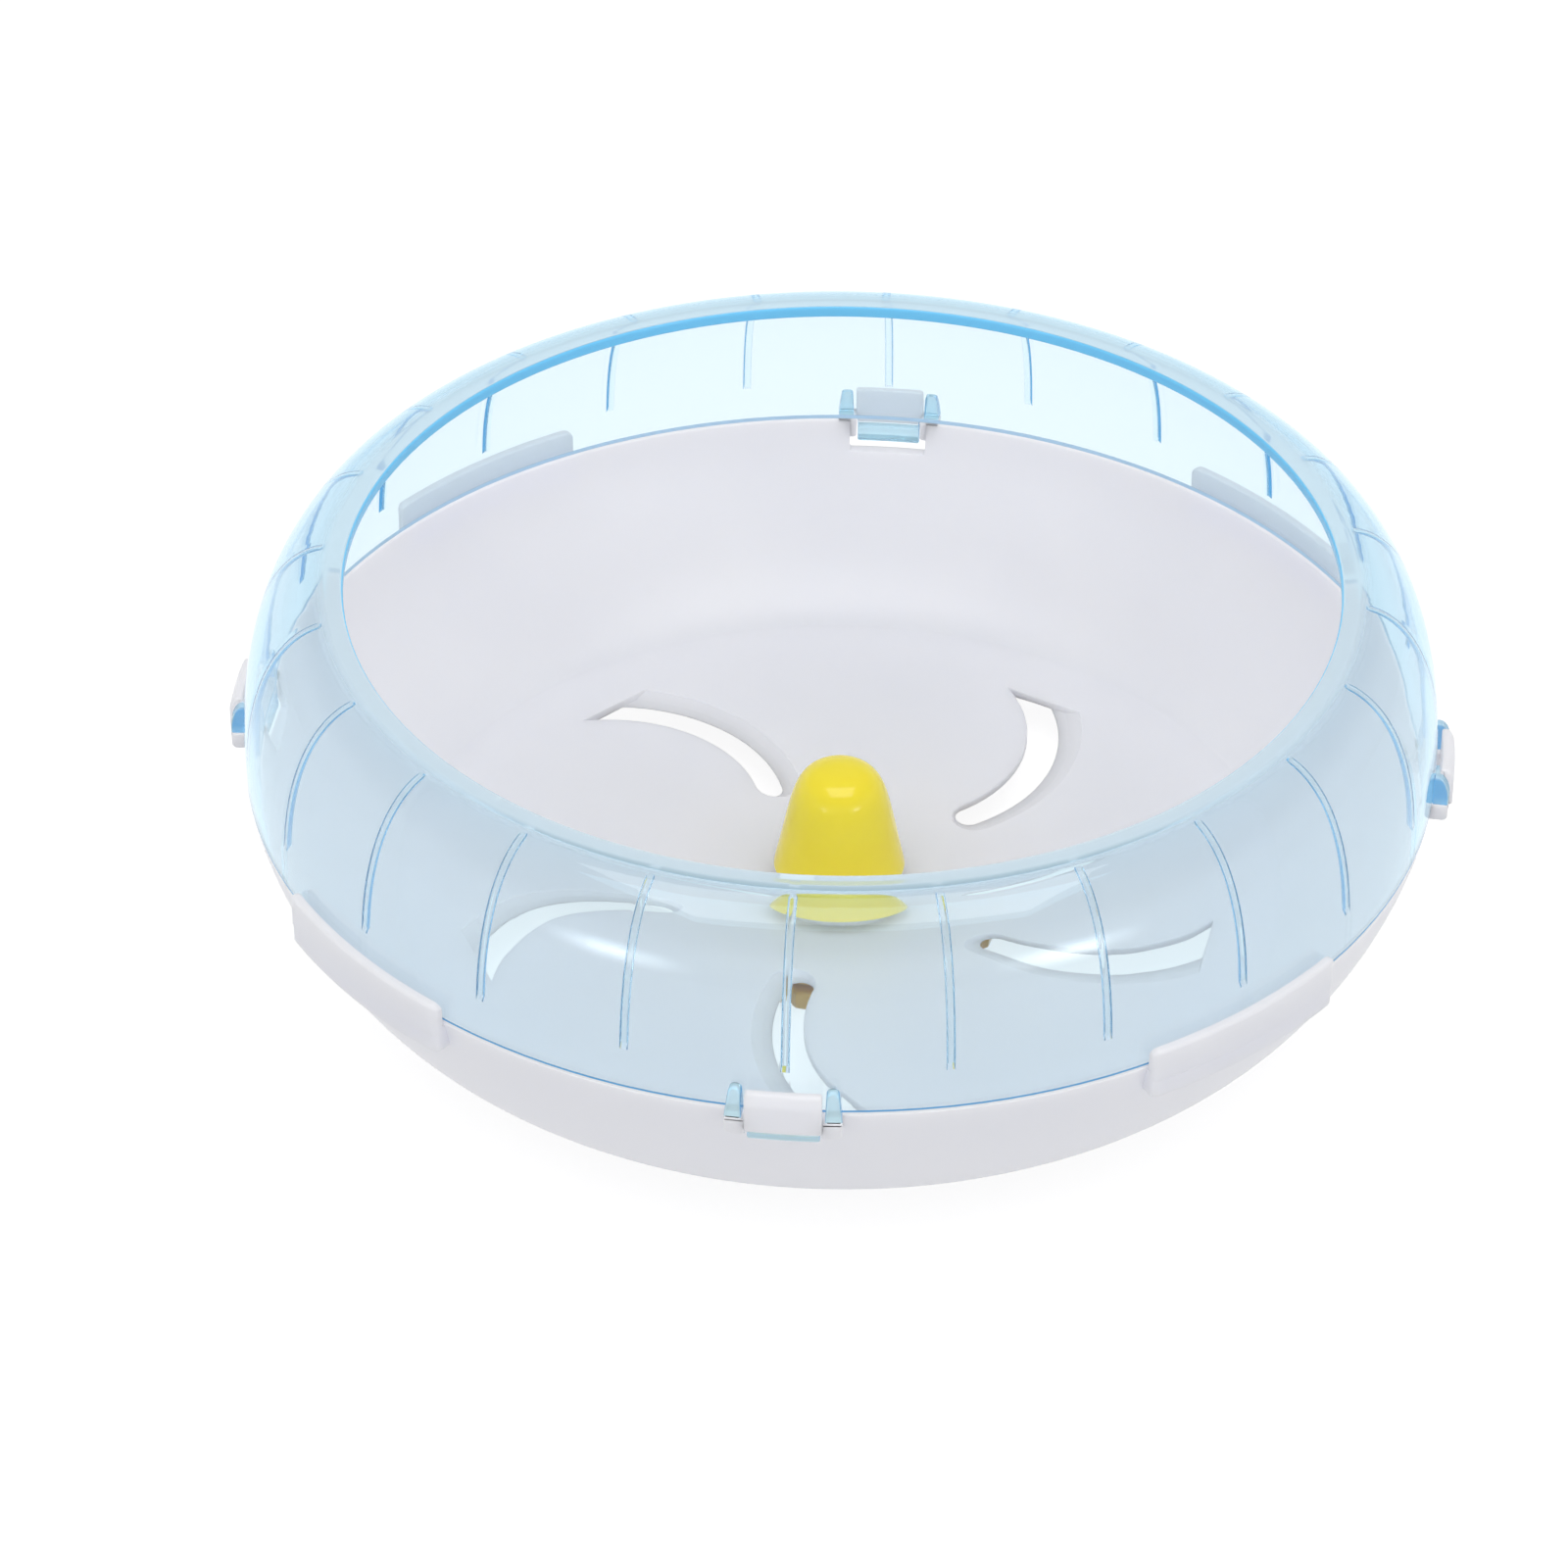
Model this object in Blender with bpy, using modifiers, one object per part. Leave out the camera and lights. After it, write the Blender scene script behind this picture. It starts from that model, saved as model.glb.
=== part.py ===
"""Hamster exercise wheel: a white dish and a clear blue running ring that clip together and spin
on a plastic axle, with a screw clamp behind it that grips the wires of a cage.

Metres, +Z up. The wheel lies on its back: Z is the axle, Z = 0 is the clamp's resting face, and
the four snap clips stand on the X and Y axes.
"""
import math

import bmesh
import bpy
from mathutils import Matrix

# Fits that all pieces share
SEAT_GAP = 0.0003
RUN_GAP = 0.0003
OVERRUN = 0.001

# Overall sizes
OVERALL_WIDTH = 0.170
OVERALL_HEIGHT = 0.060
CLIP_STAND = 0.0026
RIM_HEIGHT = 0.0318

# Running ring: a curved wall that turns in over the top to a round opening
RING_WALL = 0.0014
CROWN_INSET = 0.0124
LIP_LENGTH = 0.0020
LIP_DROP = 0.0007
LIP_THICKNESS = 0.0018
RING_CURVE_SHARES = ((0.443, 0.0), (1.069, 0.255))

# Treads: moulded bars down the inside of the ring
RIB_COUNT = 24
RIB_WIDTH = 0.0012
RIB_STAND = 0.0001
RIB_SPAN_SHARES = (0.07, 0.84)
RIB_POINTS = 7

# Back dish
DISH_WALL = 0.0016
FLOOR_THICKNESS = 0.0017
FLOOR_RADIUS = 0.061
DISH_CURVE_SHARES = ((0.145, 0.55), (0.58, 1.0))

# Swirl slots in the floor: edge azimuths in degrees at the inner, middle and outer radius
SLOT_COUNT = 5
SLOT_INNER_RADIUS = 0.0250
SLOT_OUTER_RADIUS = 0.0535
SLOT_BEVEL_RADIUS = 0.0542
SLOT_SHELF_RADIUS = 0.0537
SLOT_BEVEL_DEPTH = 0.0010
SLOT_SHELF_FALL = 0.0002
SLOT_LEADING_AZIMUTHS = (114.4, 118.2, 131.4)
SLOT_TRAILING_AZIMUTHS = (123.2, 125.2, 139.3)
SLOT_BEVEL_AZIMUTHS = (108.4, 113.9, 126.6)
SLOT_SHELF_AZIMUTHS = (111.2, 115.9, 128.8)
SLOT_EDGE_POINTS = 8
SLOT_NOSE_POINTS = 3

# Guide skirts: four arcs on the dish's rim that hold the ring in line, between the clips
SKIRT_RISE = 0.0035
SKIRT_DROP = 0.0043
SKIRT_THICKNESS = 0.0014
SKIRT_HALF_ANGLE = 11.1
SKIRT_CHAMFER_SHARE = 0.4

# Snap clips: a flap on the dish stands outside a hooked tongue on the ring
CLIP_COUNT = 4
FLAP_WIDTH = 0.0104
FLAP_RISE = 0.0044
FLAP_DROP = 0.0014
FLAP_THICKNESS = 0.0018
TONGUE_WIDTH = 0.0096
TONGUE_LENGTH = 0.0038
TONGUE_THICKNESS = 0.0010
HOOK_REACH = 0.0016
HOOK_HEIGHT = 0.0016
WINDOW_WIDTH = 0.0122
WINDOW_DEPTH = 0.0049
EAR_WIDTH = 0.0022
EAR_HEIGHT = 0.0041
EAR_REACH = 0.0022
EAR_OFFSET = 0.00665
LUG_WIDTH = 0.0029
LUG_HEIGHT = 0.0027
LUG_OFFSET = 0.0064

# Hub, from the resting face up: clamp plate, flange, washer, boss, washer and screw, cap
CLAMP_RADIUS = 0.0219
CLAMP_THICKNESS = 0.0030
CLAMP_EDGE_CHAMFER = 0.0005
GRIP_COUNT = 12
GRIP_RADIUS = 0.0022
GRIP_DEPTH = 0.0007
BOLT_RADIUS = 0.0025
BOLT_HEAD_RADIUS = 0.0050
BOLT_HEAD_HEIGHT = 0.0013
BOLT_LENGTH = 0.0085
BOLT_SLOT_WIDTH = 0.0012
BOLT_SLOT_DEPTH = 0.0006
FLANGE_RADIUS = 0.0205
FLANGE_THICKNESS = 0.0017
POST_RADIUS = 0.0047
BOSS_WALL = 0.0013
BOSS_HEIGHT = 0.0083
WASHER_THICKNESS = 0.0005
REAR_WASHER_RADIUS = 0.0090
FRONT_WASHER_RADIUS = 0.0055
SCREW_RADIUS = 0.0015
SCREW_LENGTH = 0.0055
SCREW_HEAD_RADIUS = 0.0030
SCREW_HEAD_HEIGHT = 0.0018
SCREW_CROWN_SHARE = 0.7
CAP_RADIUS = 0.00927
CAP_STAND = 0.0034
CAP_HEIGHT = 0.0163
CAP_WALL = 0.0012
CAP_CURVE_SHARES = ((0.755, 1.0), (0.659, 0.808))

# Smoothness of the turned shapes
MERGE_DISTANCE = 0.000001
DRUM_STEPS = 72
HUB_STEPS = 36
WALL_POINTS = 11
CAP_POINTS = 9
SECTOR_STEP_DEGREES = 2.6

# Places worked out from the sizes above
REACH_RADIUS = OVERALL_WIDTH / 2
RIM_RADIUS = REACH_RADIUS - CLIP_STAND
GUIDE_RADIUS = RIM_RADIUS + RUN_GAP
CROWN_RADIUS = RIM_RADIUS - CROWN_INSET
OPENING_RADIUS = CROWN_RADIUS - LIP_LENGTH
FLANGE_BOTTOM = CLAMP_THICKNESS + SEAT_GAP
FLANGE_TOP = FLANGE_BOTTOM + FLANGE_THICKNESS
FLOOR_BOTTOM = FLANGE_TOP + SEAT_GAP
FLOOR_TOP = FLOOR_BOTTOM + FLOOR_THICKNESS
BORE_RADIUS = POST_RADIUS + RUN_GAP
BOSS_RADIUS = BORE_RADIUS + BOSS_WALL
BOSS_TOP = FLOOR_TOP + BOSS_HEIGHT
POST_TOP = BOSS_TOP + RUN_GAP
RING_BOTTOM = RIM_HEIGHT + SEAT_GAP
HEAD_POCKET_DEPTH = BOLT_HEAD_HEIGHT + 2 * SEAT_GAP
BOLT_TOP = SEAT_GAP + BOLT_HEAD_HEIGHT + BOLT_LENGTH
SCREW_SEAT = POST_TOP + 2 * SEAT_GAP + WASHER_THICKNESS
SCREW_TIP = SCREW_SEAT - SCREW_LENGTH


def bezier(start, first, second, end, count):
    """Points along a cubic curve in the (radius, height) plane, both ends included."""
    points = []
    for index in range(count + 1):
        t = index / count
        weights = ((1 - t) ** 3, 3 * (1 - t) ** 2 * t, 3 * (1 - t) * t * t, t ** 3)
        parts = zip(weights, (start, first, second, end))
        sums = [(w * p[0], w * p[1]) for w, p in parts]
        points.append((sum(s[0] for s in sums), sum(s[1] for s in sums)))
    return points


def inset(points, distance):
    """The same run of points moved sideways, to the right of the way it runs."""
    moved = []
    last = len(points) - 1
    for index, (radius, height) in enumerate(points):
        before = points[max(index - 1, 0)]
        after = points[min(index + 1, last)]
        run = (after[0] - before[0], after[1] - before[1])
        size = math.hypot(*run)
        moved.append((radius + run[1] / size * distance, height - run[0] / size * distance))
    return moved


def material(name, colour, roughness, metallic=0.0, transmission=0.0):
    made = bpy.data.materials.new(name)
    made.use_nodes = True
    shader = made.node_tree.nodes["Principled BSDF"]
    shader.inputs["Base Color"].default_value = (*colour, 1.0)
    shader.inputs["Roughness"].default_value = roughness
    shader.inputs["Metallic"].default_value = metallic
    shader.inputs["Transmission Weight"].default_value = transmission
    made.diffuse_color = (*colour, 1.0)
    return made


def new_object(name, mesh, collection, finish=None):
    made = bpy.data.objects.new(name, mesh)
    collection.objects.link(made)
    if finish:
        mesh.materials.append(finish)
    return made


def helper_object(name, mesh, helpers):
    """An object that shapes another one and is not itself a piece of the wheel."""
    made = new_object(name, mesh, helpers)
    made.hide_render = True
    made.display_type = "WIRE"
    return made


def turned(name, profile, steps, collection, finish):
    """A turned piece. The profile runs down its outer side; it is closed unless it meets the axis."""
    mesh = bpy.data.meshes.new(name)
    count = len(profile)
    edges = [(index, index + 1) for index in range(count - 1)]
    if profile[0][0] > 0:
        edges.append((count - 1, 0))
    mesh.from_pydata([(radius, 0, height) for radius, height in profile], edges, [])
    made = new_object(name, mesh, collection, finish)
    spin = made.modifiers.new("Turn", "SCREW")
    spin.axis = "Z"
    spin.steps = steps
    spin.render_steps = steps
    spin.use_merge_vertices = True
    spin.merge_threshold = MERGE_DISTANCE
    return made


def combine(piece, tool, operation):
    change = piece.modifiers.new(tool.name, "BOOLEAN")
    change.operation = operation
    change.object = tool
    change.solver = "EXACT"


def add_sector(bm, outline, azimuth, half_angle):
    """A closed bar: the (radius, height) outline swept about the Z axis to both sides of azimuth."""
    turn = Matrix.Rotation(math.radians(azimuth - half_angle), 4, "Z")
    corners = [bm.verts.new(turn @ Matrix.Translation((r, 0, z)).translation) for r, z in outline]
    start = bm.faces.new(corners)
    steps = 2 * max(1, round(half_angle / SECTOR_STEP_DEGREES))
    bmesh.ops.spin(bm, geom=[start], cent=(0, 0, 0), axis=(0, 0, 1),
                   angle=math.radians(2 * half_angle), steps=steps)


def mesh_from(name, bm):
    bmesh.ops.recalc_face_normals(bm, faces=bm.faces)
    mesh = bpy.data.meshes.new(name)
    bm.to_mesh(mesh)
    bm.free()
    return mesh


def sectors(name, outline, azimuths, half_angle, helpers):
    bm = bmesh.new()
    for azimuth in azimuths:
        add_sector(bm, outline, azimuth, half_angle)
    return helper_object(name, mesh_from(name, bm), helpers)


def half_angle_of(width):
    """Half the angle in degrees that a width spans at the ring's bottom edge."""
    return math.degrees(width / 2 / RIM_RADIUS)


def clip_azimuths(offset=0.0):
    step = 360 / CLIP_COUNT
    places = [index * step for index in range(CLIP_COUNT)]
    if not offset:
        return places
    shift = math.degrees(offset / RIM_RADIUS)
    return [place + side * shift for place in places for side in (-1, 1)]


def ring_wall():
    """The ring's outer line, from the crown down to its bottom edge."""
    run = RIM_RADIUS - CROWN_RADIUS
    fall = OVERALL_HEIGHT - RING_BOTTOM
    controls = [(CROWN_RADIUS + run * x, OVERALL_HEIGHT - fall * z) for x, z in RING_CURVE_SHARES]
    return bezier((CROWN_RADIUS, OVERALL_HEIGHT), *controls, (RIM_RADIUS, RING_BOTTOM), WALL_POINTS)


def dish_wall():
    """The dish's outer line, from the rim down to the flat of its underside."""
    run = RIM_RADIUS - FLOOR_RADIUS
    fall = RIM_HEIGHT - FLOOR_BOTTOM
    controls = [(RIM_RADIUS - run * x, RIM_HEIGHT - fall * z) for x, z in DISH_CURVE_SHARES]
    return bezier((RIM_RADIUS, RIM_HEIGHT), *controls, (FLOOR_RADIUS, FLOOR_BOTTOM), WALL_POINTS)


def arc_through(inner, middle, outer, count):
    """Points on the circle through three plan points, from inner to outer."""
    (ax, ay), (bx, by), (cx, cy) = inner, middle, outer
    area = 2 * (ax * (by - cy) + bx * (cy - ay) + cx * (ay - by))
    squares = [x * x + y * y for x, y in (inner, middle, outer)]
    ox = (squares[0] * (by - cy) + squares[1] * (cy - ay) + squares[2] * (ay - by)) / area
    oy = (squares[0] * (cx - bx) + squares[1] * (ax - cx) + squares[2] * (bx - ax)) / area
    radius = math.hypot(ax - ox, ay - oy)
    first = math.atan2(ay - oy, ax - ox)
    sweep = math.remainder(math.atan2(cy - oy, cx - ox) - first, math.tau)
    turns = [first + sweep * index / (count - 1) for index in range(count)]
    return [(ox + radius * math.cos(turn), oy + radius * math.sin(turn)) for turn in turns]


def slot_edge(azimuths, outer_radius=SLOT_OUTER_RADIUS):
    radii = (SLOT_INNER_RADIUS, (SLOT_INNER_RADIUS + outer_radius) / 2, outer_radius)
    turns = [math.radians(azimuth) for azimuth in azimuths]
    plan = [(r * math.cos(turn), r * math.sin(turn)) for r, turn in zip(radii, turns)]
    return arc_through(*plan, SLOT_EDGE_POINTS)


def slot_outline(trailing, leading):
    """Both edges of a slot, joined by a straight outer end and a half-round nose at the hub."""
    first, last = trailing[0], leading[0]
    middle = ((first[0] + last[0]) / 2, (first[1] + last[1]) / 2)
    arm = (first[0] - middle[0], first[1] - middle[1])
    turns = [math.pi * (index + 1) / (SLOT_NOSE_POINTS + 1) for index in range(SLOT_NOSE_POINTS)]
    nose = [(middle[0] + arm[0] * math.cos(turn) - arm[1] * math.sin(turn),
             middle[1] + arm[1] * math.cos(turn) + arm[0] * math.sin(turn)) for turn in turns]
    return trailing + leading[::-1] + nose[::-1]


def slot_cutters(helpers):
    """Lofted cutters: a swirl hole with a shelf along its leading side, sunk below the floor."""
    trailing = slot_edge(SLOT_TRAILING_AZIMUTHS)
    hole = slot_outline(trailing, slot_edge(SLOT_LEADING_AZIMUTHS))
    shelf = slot_outline(trailing, slot_edge(SLOT_SHELF_AZIMUTHS, SLOT_SHELF_RADIUS))
    mouth = slot_outline(trailing, slot_edge(SLOT_BEVEL_AZIMUTHS, SLOT_BEVEL_RADIUS))
    shelf_top = FLOOR_TOP - SLOT_BEVEL_DEPTH
    levels = ((hole, FLOOR_BOTTOM - OVERRUN), (hole, shelf_top - SLOT_SHELF_FALL), (shelf, shelf_top),
              (mouth, FLOOR_TOP), (mouth, FLOOR_TOP + OVERRUN))
    bm = bmesh.new()
    for index in range(SLOT_COUNT):
        turn = Matrix.Rotation(math.tau * index / SLOT_COUNT, 4, "Z")
        loops = []
        for outline, height in levels:
            places = [turn @ Matrix.Translation((x, y, height)).translation for x, y in outline]
            loops.append([bm.verts.new(place) for place in places])
        for lower, upper in zip(loops, loops[1:]):
            for corner in range(len(lower)):
                after = (corner + 1) % len(lower)
                bm.faces.new((lower[corner], lower[after], upper[after], upper[corner]))
        bm.faces.new(loops[0][::-1])
        bm.faces.new(loops[-1])
    return helper_object("slot_cutters", mesh_from("slot_cutters", bm), helpers)


def skirt_outline():
    outer = GUIDE_RADIUS + SKIRT_THICKNESS
    chamfer = SKIRT_THICKNESS * SKIRT_CHAMFER_SHARE
    top = RIM_HEIGHT + SKIRT_RISE
    bottom = RIM_HEIGHT - SKIRT_DROP
    root = RIM_RADIUS - DISH_WALL / 2
    shelf = RIM_HEIGHT - SEAT_GAP
    return [(GUIDE_RADIUS, top), (outer - chamfer, top), (outer, top - chamfer),
            (outer, bottom + chamfer), (outer - chamfer, bottom), (root - DISH_WALL / 4, bottom),
            (root, shelf), (GUIDE_RADIUS, shelf)]


def flap_outline():
    chamfer = FLAP_THICKNESS / 2
    inner = REACH_RADIUS - FLAP_THICKNESS
    top = RIM_HEIGHT + FLAP_RISE
    bottom = RIM_HEIGHT - FLAP_DROP
    return [(inner, top), (REACH_RADIUS - chamfer, top), (REACH_RADIUS, top - chamfer),
            (REACH_RADIUS, bottom), (inner, bottom)]


def lug_outline():
    outer = GUIDE_RADIUS + EAR_REACH - SEAT_GAP
    chamfer = EAR_REACH / 2
    top = RIM_HEIGHT - SEAT_GAP
    bottom = top - LUG_HEIGHT
    root = RIM_RADIUS - DISH_WALL / 2
    return [(root, top), (outer, top), (outer, bottom + chamfer), (outer - chamfer, bottom),
            (root - DISH_WALL / 4, bottom)]


def window_outline():
    inner = RIM_RADIUS - 4 * DISH_WALL
    outer = RIM_RADIUS + OVERRUN
    bottom = RIM_HEIGHT - WINDOW_DEPTH
    return [(inner, RIM_HEIGHT + OVERRUN), (outer, RIM_HEIGHT + OVERRUN), (outer, bottom),
            (inner, bottom)]


def tongue_outline():
    """Hooked tongue: its root sits inside the ring's wall and its hook ends under the flap."""
    outer = RIM_RADIUS - (RING_WALL - TONGUE_THICKNESS) / 2
    inner = outer - TONGUE_THICKNESS
    top = RING_BOTTOM + RING_WALL
    bottom = RIM_HEIGHT - TONGUE_LENGTH
    hook_top = RIM_HEIGHT - FLAP_DROP - SEAT_GAP
    hook = outer + HOOK_REACH
    return [(inner, top), (outer, top), (outer, hook_top), (hook, hook_top),
            (hook, hook_top - HOOK_HEIGHT), (outer, bottom), (inner, bottom)]


def ear_outline():
    """Ear: a buttress on the ring that swells from the wall down to a flat foot over the lug."""
    foot = RIM_HEIGHT + SEAT_GAP
    root = RIM_RADIUS - RING_WALL / 2
    outer = GUIDE_RADIUS + EAR_REACH - SEAT_GAP
    swell = foot + EAR_HEIGHT / 3
    return [(root, foot + EAR_HEIGHT), (RIM_RADIUS, foot + EAR_HEIGHT),
            (outer - EAR_REACH / 4, swell + EAR_HEIGHT / 4), (outer, swell), (outer, foot),
            (root, foot)]


def rib_operand(helpers):
    """Every tread: a round bar that follows the inner line of the ring, copied round the axis."""
    inner = inset(ring_wall(), RING_WALL)
    spans = [index / (RIB_POINTS - 1) for index in range(RIB_POINTS)]
    first, last = RIB_SPAN_SHARES
    line = []
    for span in spans:
        place = (first + (last - first) * span) * WALL_POINTS
        below = min(int(place), WALL_POINTS - 1)
        part = place - below
        line.append([a + (b - a) * part for a, b in zip(inner[below], inner[below + 1])])
    line = inset(line, RIB_STAND)
    path = bpy.data.curves.new("rib_path", "CURVE")
    path.dimensions = "3D"
    path.bevel_depth = RIB_WIDTH / 2
    path.bevel_resolution = 1
    path.use_fill_caps = True
    spline = path.splines.new("POLY")
    spline.points.add(len(line) - 1)
    for point, (radius, height) in zip(spline.points, line):
        point.co = (radius, 0, height, 1)
    guide = helper_object("rib_path", path, helpers)
    solid = guide.evaluated_get(bpy.context.evaluated_depsgraph_get())
    bar = bpy.data.meshes.new_from_object(solid)
    bpy.data.objects.remove(guide)
    bm = bmesh.new()
    for index in range(RIB_COUNT):
        kept = set(bm.verts)
        bm.from_mesh(bar)
        fresh = [vert for vert in bm.verts if vert not in kept]
        bmesh.ops.rotate(bm, verts=fresh, cent=(0, 0, 0),
                         matrix=Matrix.Rotation(math.tau * index / RIB_COUNT, 3, "Z"))
    bmesh.ops.remove_doubles(bm, verts=bm.verts, dist=RIB_STAND / 10)
    return helper_object("ribs", mesh_from("ribs", bm), helpers)


def running_ring(collection, helpers, finish):
    outer = ring_wall()
    inner = inset(outer, RING_WALL)
    lip_top = OVERALL_HEIGHT - LIP_DROP
    lip = [(OPENING_RADIUS, lip_top - LIP_THICKNESS), (OPENING_RADIUS, lip_top)]
    foot = (RIM_RADIUS - RING_WALL, RING_BOTTOM)
    made = turned("running_ring", outer + [foot] + inner[-2::-1] + lip, DRUM_STEPS, collection, finish)
    combine(made, rib_operand(helpers), "UNION")
    tongues = sectors("tongues", tongue_outline(), clip_azimuths(), half_angle_of(TONGUE_WIDTH), helpers)
    combine(made, tongues, "UNION")
    ears = sectors("ears", ear_outline(), clip_azimuths(EAR_OFFSET), half_angle_of(EAR_WIDTH), helpers)
    combine(made, ears, "UNION")
    return made


def back_dish(collection, helpers, finish):
    outer = dish_wall()
    inner = inset(outer, DISH_WALL)
    rising = [point for point in inner[::-1] if point[1] > FLOOR_TOP]
    pocket = REAR_WASHER_RADIUS + RUN_GAP
    pocket_top = FLANGE_TOP + 2 * SEAT_GAP + WASHER_THICKNESS + RUN_GAP - SEAT_GAP
    hub = [(pocket, FLOOR_BOTTOM), (pocket, pocket_top), (BORE_RADIUS, pocket_top),
           (BORE_RADIUS, BOSS_TOP), (BOSS_RADIUS, BOSS_TOP), (BOSS_RADIUS, FLOOR_TOP),
           (FLOOR_RADIUS, FLOOR_TOP)]
    rising[-1] = (RIM_RADIUS - DISH_WALL, RIM_HEIGHT)
    made = turned("back_dish", outer + hub + rising, DRUM_STEPS, collection, finish)
    windows = sectors("windows", window_outline(), clip_azimuths(), half_angle_of(WINDOW_WIDTH), helpers)
    combine(made, windows, "DIFFERENCE")
    combine(made, slot_cutters(helpers), "DIFFERENCE")
    between = [azimuth + 180 / CLIP_COUNT for azimuth in clip_azimuths()]
    combine(made, sectors("skirts", skirt_outline(), between, SKIRT_HALF_ANGLE, helpers), "UNION")
    lugs = sectors("lugs", lug_outline(), clip_azimuths(LUG_OFFSET), half_angle_of(LUG_WIDTH), helpers)
    combine(made, lugs, "UNION")
    flaps = sectors("flaps", flap_outline(), clip_azimuths(), half_angle_of(FLAP_WIDTH), helpers)
    combine(made, flaps, "UNION")
    return made


def hub_cap(collection, finish):
    """Bullet-shaped cap: a thin shell that slips over the dish's boss, clear of the floor."""
    bottom = FLOOR_TOP + CAP_STAND
    top = bottom + CAP_HEIGHT
    controls = [(CAP_RADIUS * x, top - CAP_HEIGHT * (1 - z)) for x, z in CAP_CURVE_SHARES]
    outer = bezier((0, top), *controls, (CAP_RADIUS, bottom), CAP_POINTS)
    fit = BOSS_RADIUS + RUN_GAP
    roof = [point for point in inset(outer, CAP_WALL)[::-1] if point[0] < fit and point[1] > bottom]
    roof[-1] = (0, top - CAP_WALL)
    inner = [(fit, bottom), (fit, roof[0][1] - CAP_WALL)] + roof
    return turned("hub_cap", outer + inner, HUB_STEPS, collection, finish)


def rear_mount(collection, finish):
    """Flange and hollow axle post in one moulding. The clamp's bolt enters it from behind."""
    pilot = SCREW_RADIUS + SEAT_GAP
    bore = BOLT_RADIUS + RUN_GAP
    pilot_floor = SCREW_TIP - SEAT_GAP
    profile = [(0, pilot_floor), (pilot, pilot_floor), (pilot, POST_TOP), (POST_RADIUS, POST_TOP),
               (POST_RADIUS, FLANGE_TOP), (FLANGE_RADIUS, FLANGE_TOP), (FLANGE_RADIUS, FLANGE_BOTTOM),
               (bore, FLANGE_BOTTOM), (bore, BOLT_TOP + SEAT_GAP), (0, BOLT_TOP + SEAT_GAP)]
    return turned("rear_mount", profile, HUB_STEPS, collection, finish)


def washer(name, bottom, hole, radius, collection, finish):
    top = bottom + WASHER_THICKNESS
    profile = [(radius, top), (radius, bottom), (hole, bottom), (hole, top)]
    return turned(name, profile, HUB_STEPS, collection, finish)


def retaining_screw(collection, finish):
    crown = SCREW_SEAT + SCREW_HEAD_HEIGHT
    edge = SCREW_SEAT + SCREW_HEAD_HEIGHT / 2
    shoulder = SCREW_HEAD_RADIUS * SCREW_CROWN_SHARE
    point = SCREW_TIP + SCREW_RADIUS
    profile = [(0, crown), (shoulder, crown), (SCREW_HEAD_RADIUS, edge), (SCREW_HEAD_RADIUS, SCREW_SEAT),
               (SCREW_RADIUS, SCREW_SEAT), (SCREW_RADIUS, point), (0, SCREW_TIP)]
    return turned("retaining_screw", profile, HUB_STEPS, collection, finish)


def clamp_plate(collection, helpers, finish):
    """Disc behind the flange, with finger scallops round its edge and a pocket for the bolt's head."""
    pocket = BOLT_HEAD_RADIUS + RUN_GAP
    hole = BOLT_RADIUS + RUN_GAP
    chamfer = CLAMP_EDGE_CHAMFER
    profile = [(CLAMP_RADIUS - chamfer, CLAMP_THICKNESS), (CLAMP_RADIUS, CLAMP_THICKNESS - chamfer),
               (CLAMP_RADIUS, chamfer), (CLAMP_RADIUS - chamfer, 0), (pocket, 0),
               (pocket, HEAD_POCKET_DEPTH), (hole, HEAD_POCKET_DEPTH), (hole, CLAMP_THICKNESS)]
    made = turned("clamp_plate", profile, 2 * HUB_STEPS, collection, finish)
    bm = bmesh.new()
    reach = CLAMP_RADIUS + GRIP_RADIUS - GRIP_DEPTH
    for index in range(GRIP_COUNT):
        turn = Matrix.Rotation(math.tau * (index + 1 / 2) / GRIP_COUNT, 4, "Z")
        place = turn @ Matrix.Translation((reach, 0, CLAMP_THICKNESS / 2))
        bmesh.ops.create_cone(bm, cap_ends=True, segments=16, radius1=GRIP_RADIUS, radius2=GRIP_RADIUS,
                              depth=CLAMP_THICKNESS + 2 * OVERRUN, matrix=place)
    scallops = helper_object("scallops", mesh_from("scallops", bm), helpers)
    combine(made, scallops, "DIFFERENCE")
    return made


def clamp_bolt(collection, helpers, finish):
    head_top = SEAT_GAP + BOLT_HEAD_HEIGHT
    profile = [(0, BOLT_TOP), (BOLT_RADIUS, BOLT_TOP), (BOLT_RADIUS, head_top),
               (BOLT_HEAD_RADIUS, head_top), (BOLT_HEAD_RADIUS, SEAT_GAP), (0, SEAT_GAP)]
    made = turned("clamp_bolt", profile, HUB_STEPS, collection, finish)
    bm = bmesh.new()
    bmesh.ops.create_cube(bm, size=1)
    size = (2 * BOLT_HEAD_RADIUS + OVERRUN, BOLT_SLOT_WIDTH, 2 * BOLT_SLOT_DEPTH)
    bmesh.ops.scale(bm, vec=size, verts=bm.verts)
    bmesh.ops.translate(bm, vec=(0, 0, SEAT_GAP), verts=bm.verts)
    combine(made, helper_object("coin_slot", mesh_from("coin_slot", bm), helpers), "DIFFERENCE")
    return made


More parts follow.
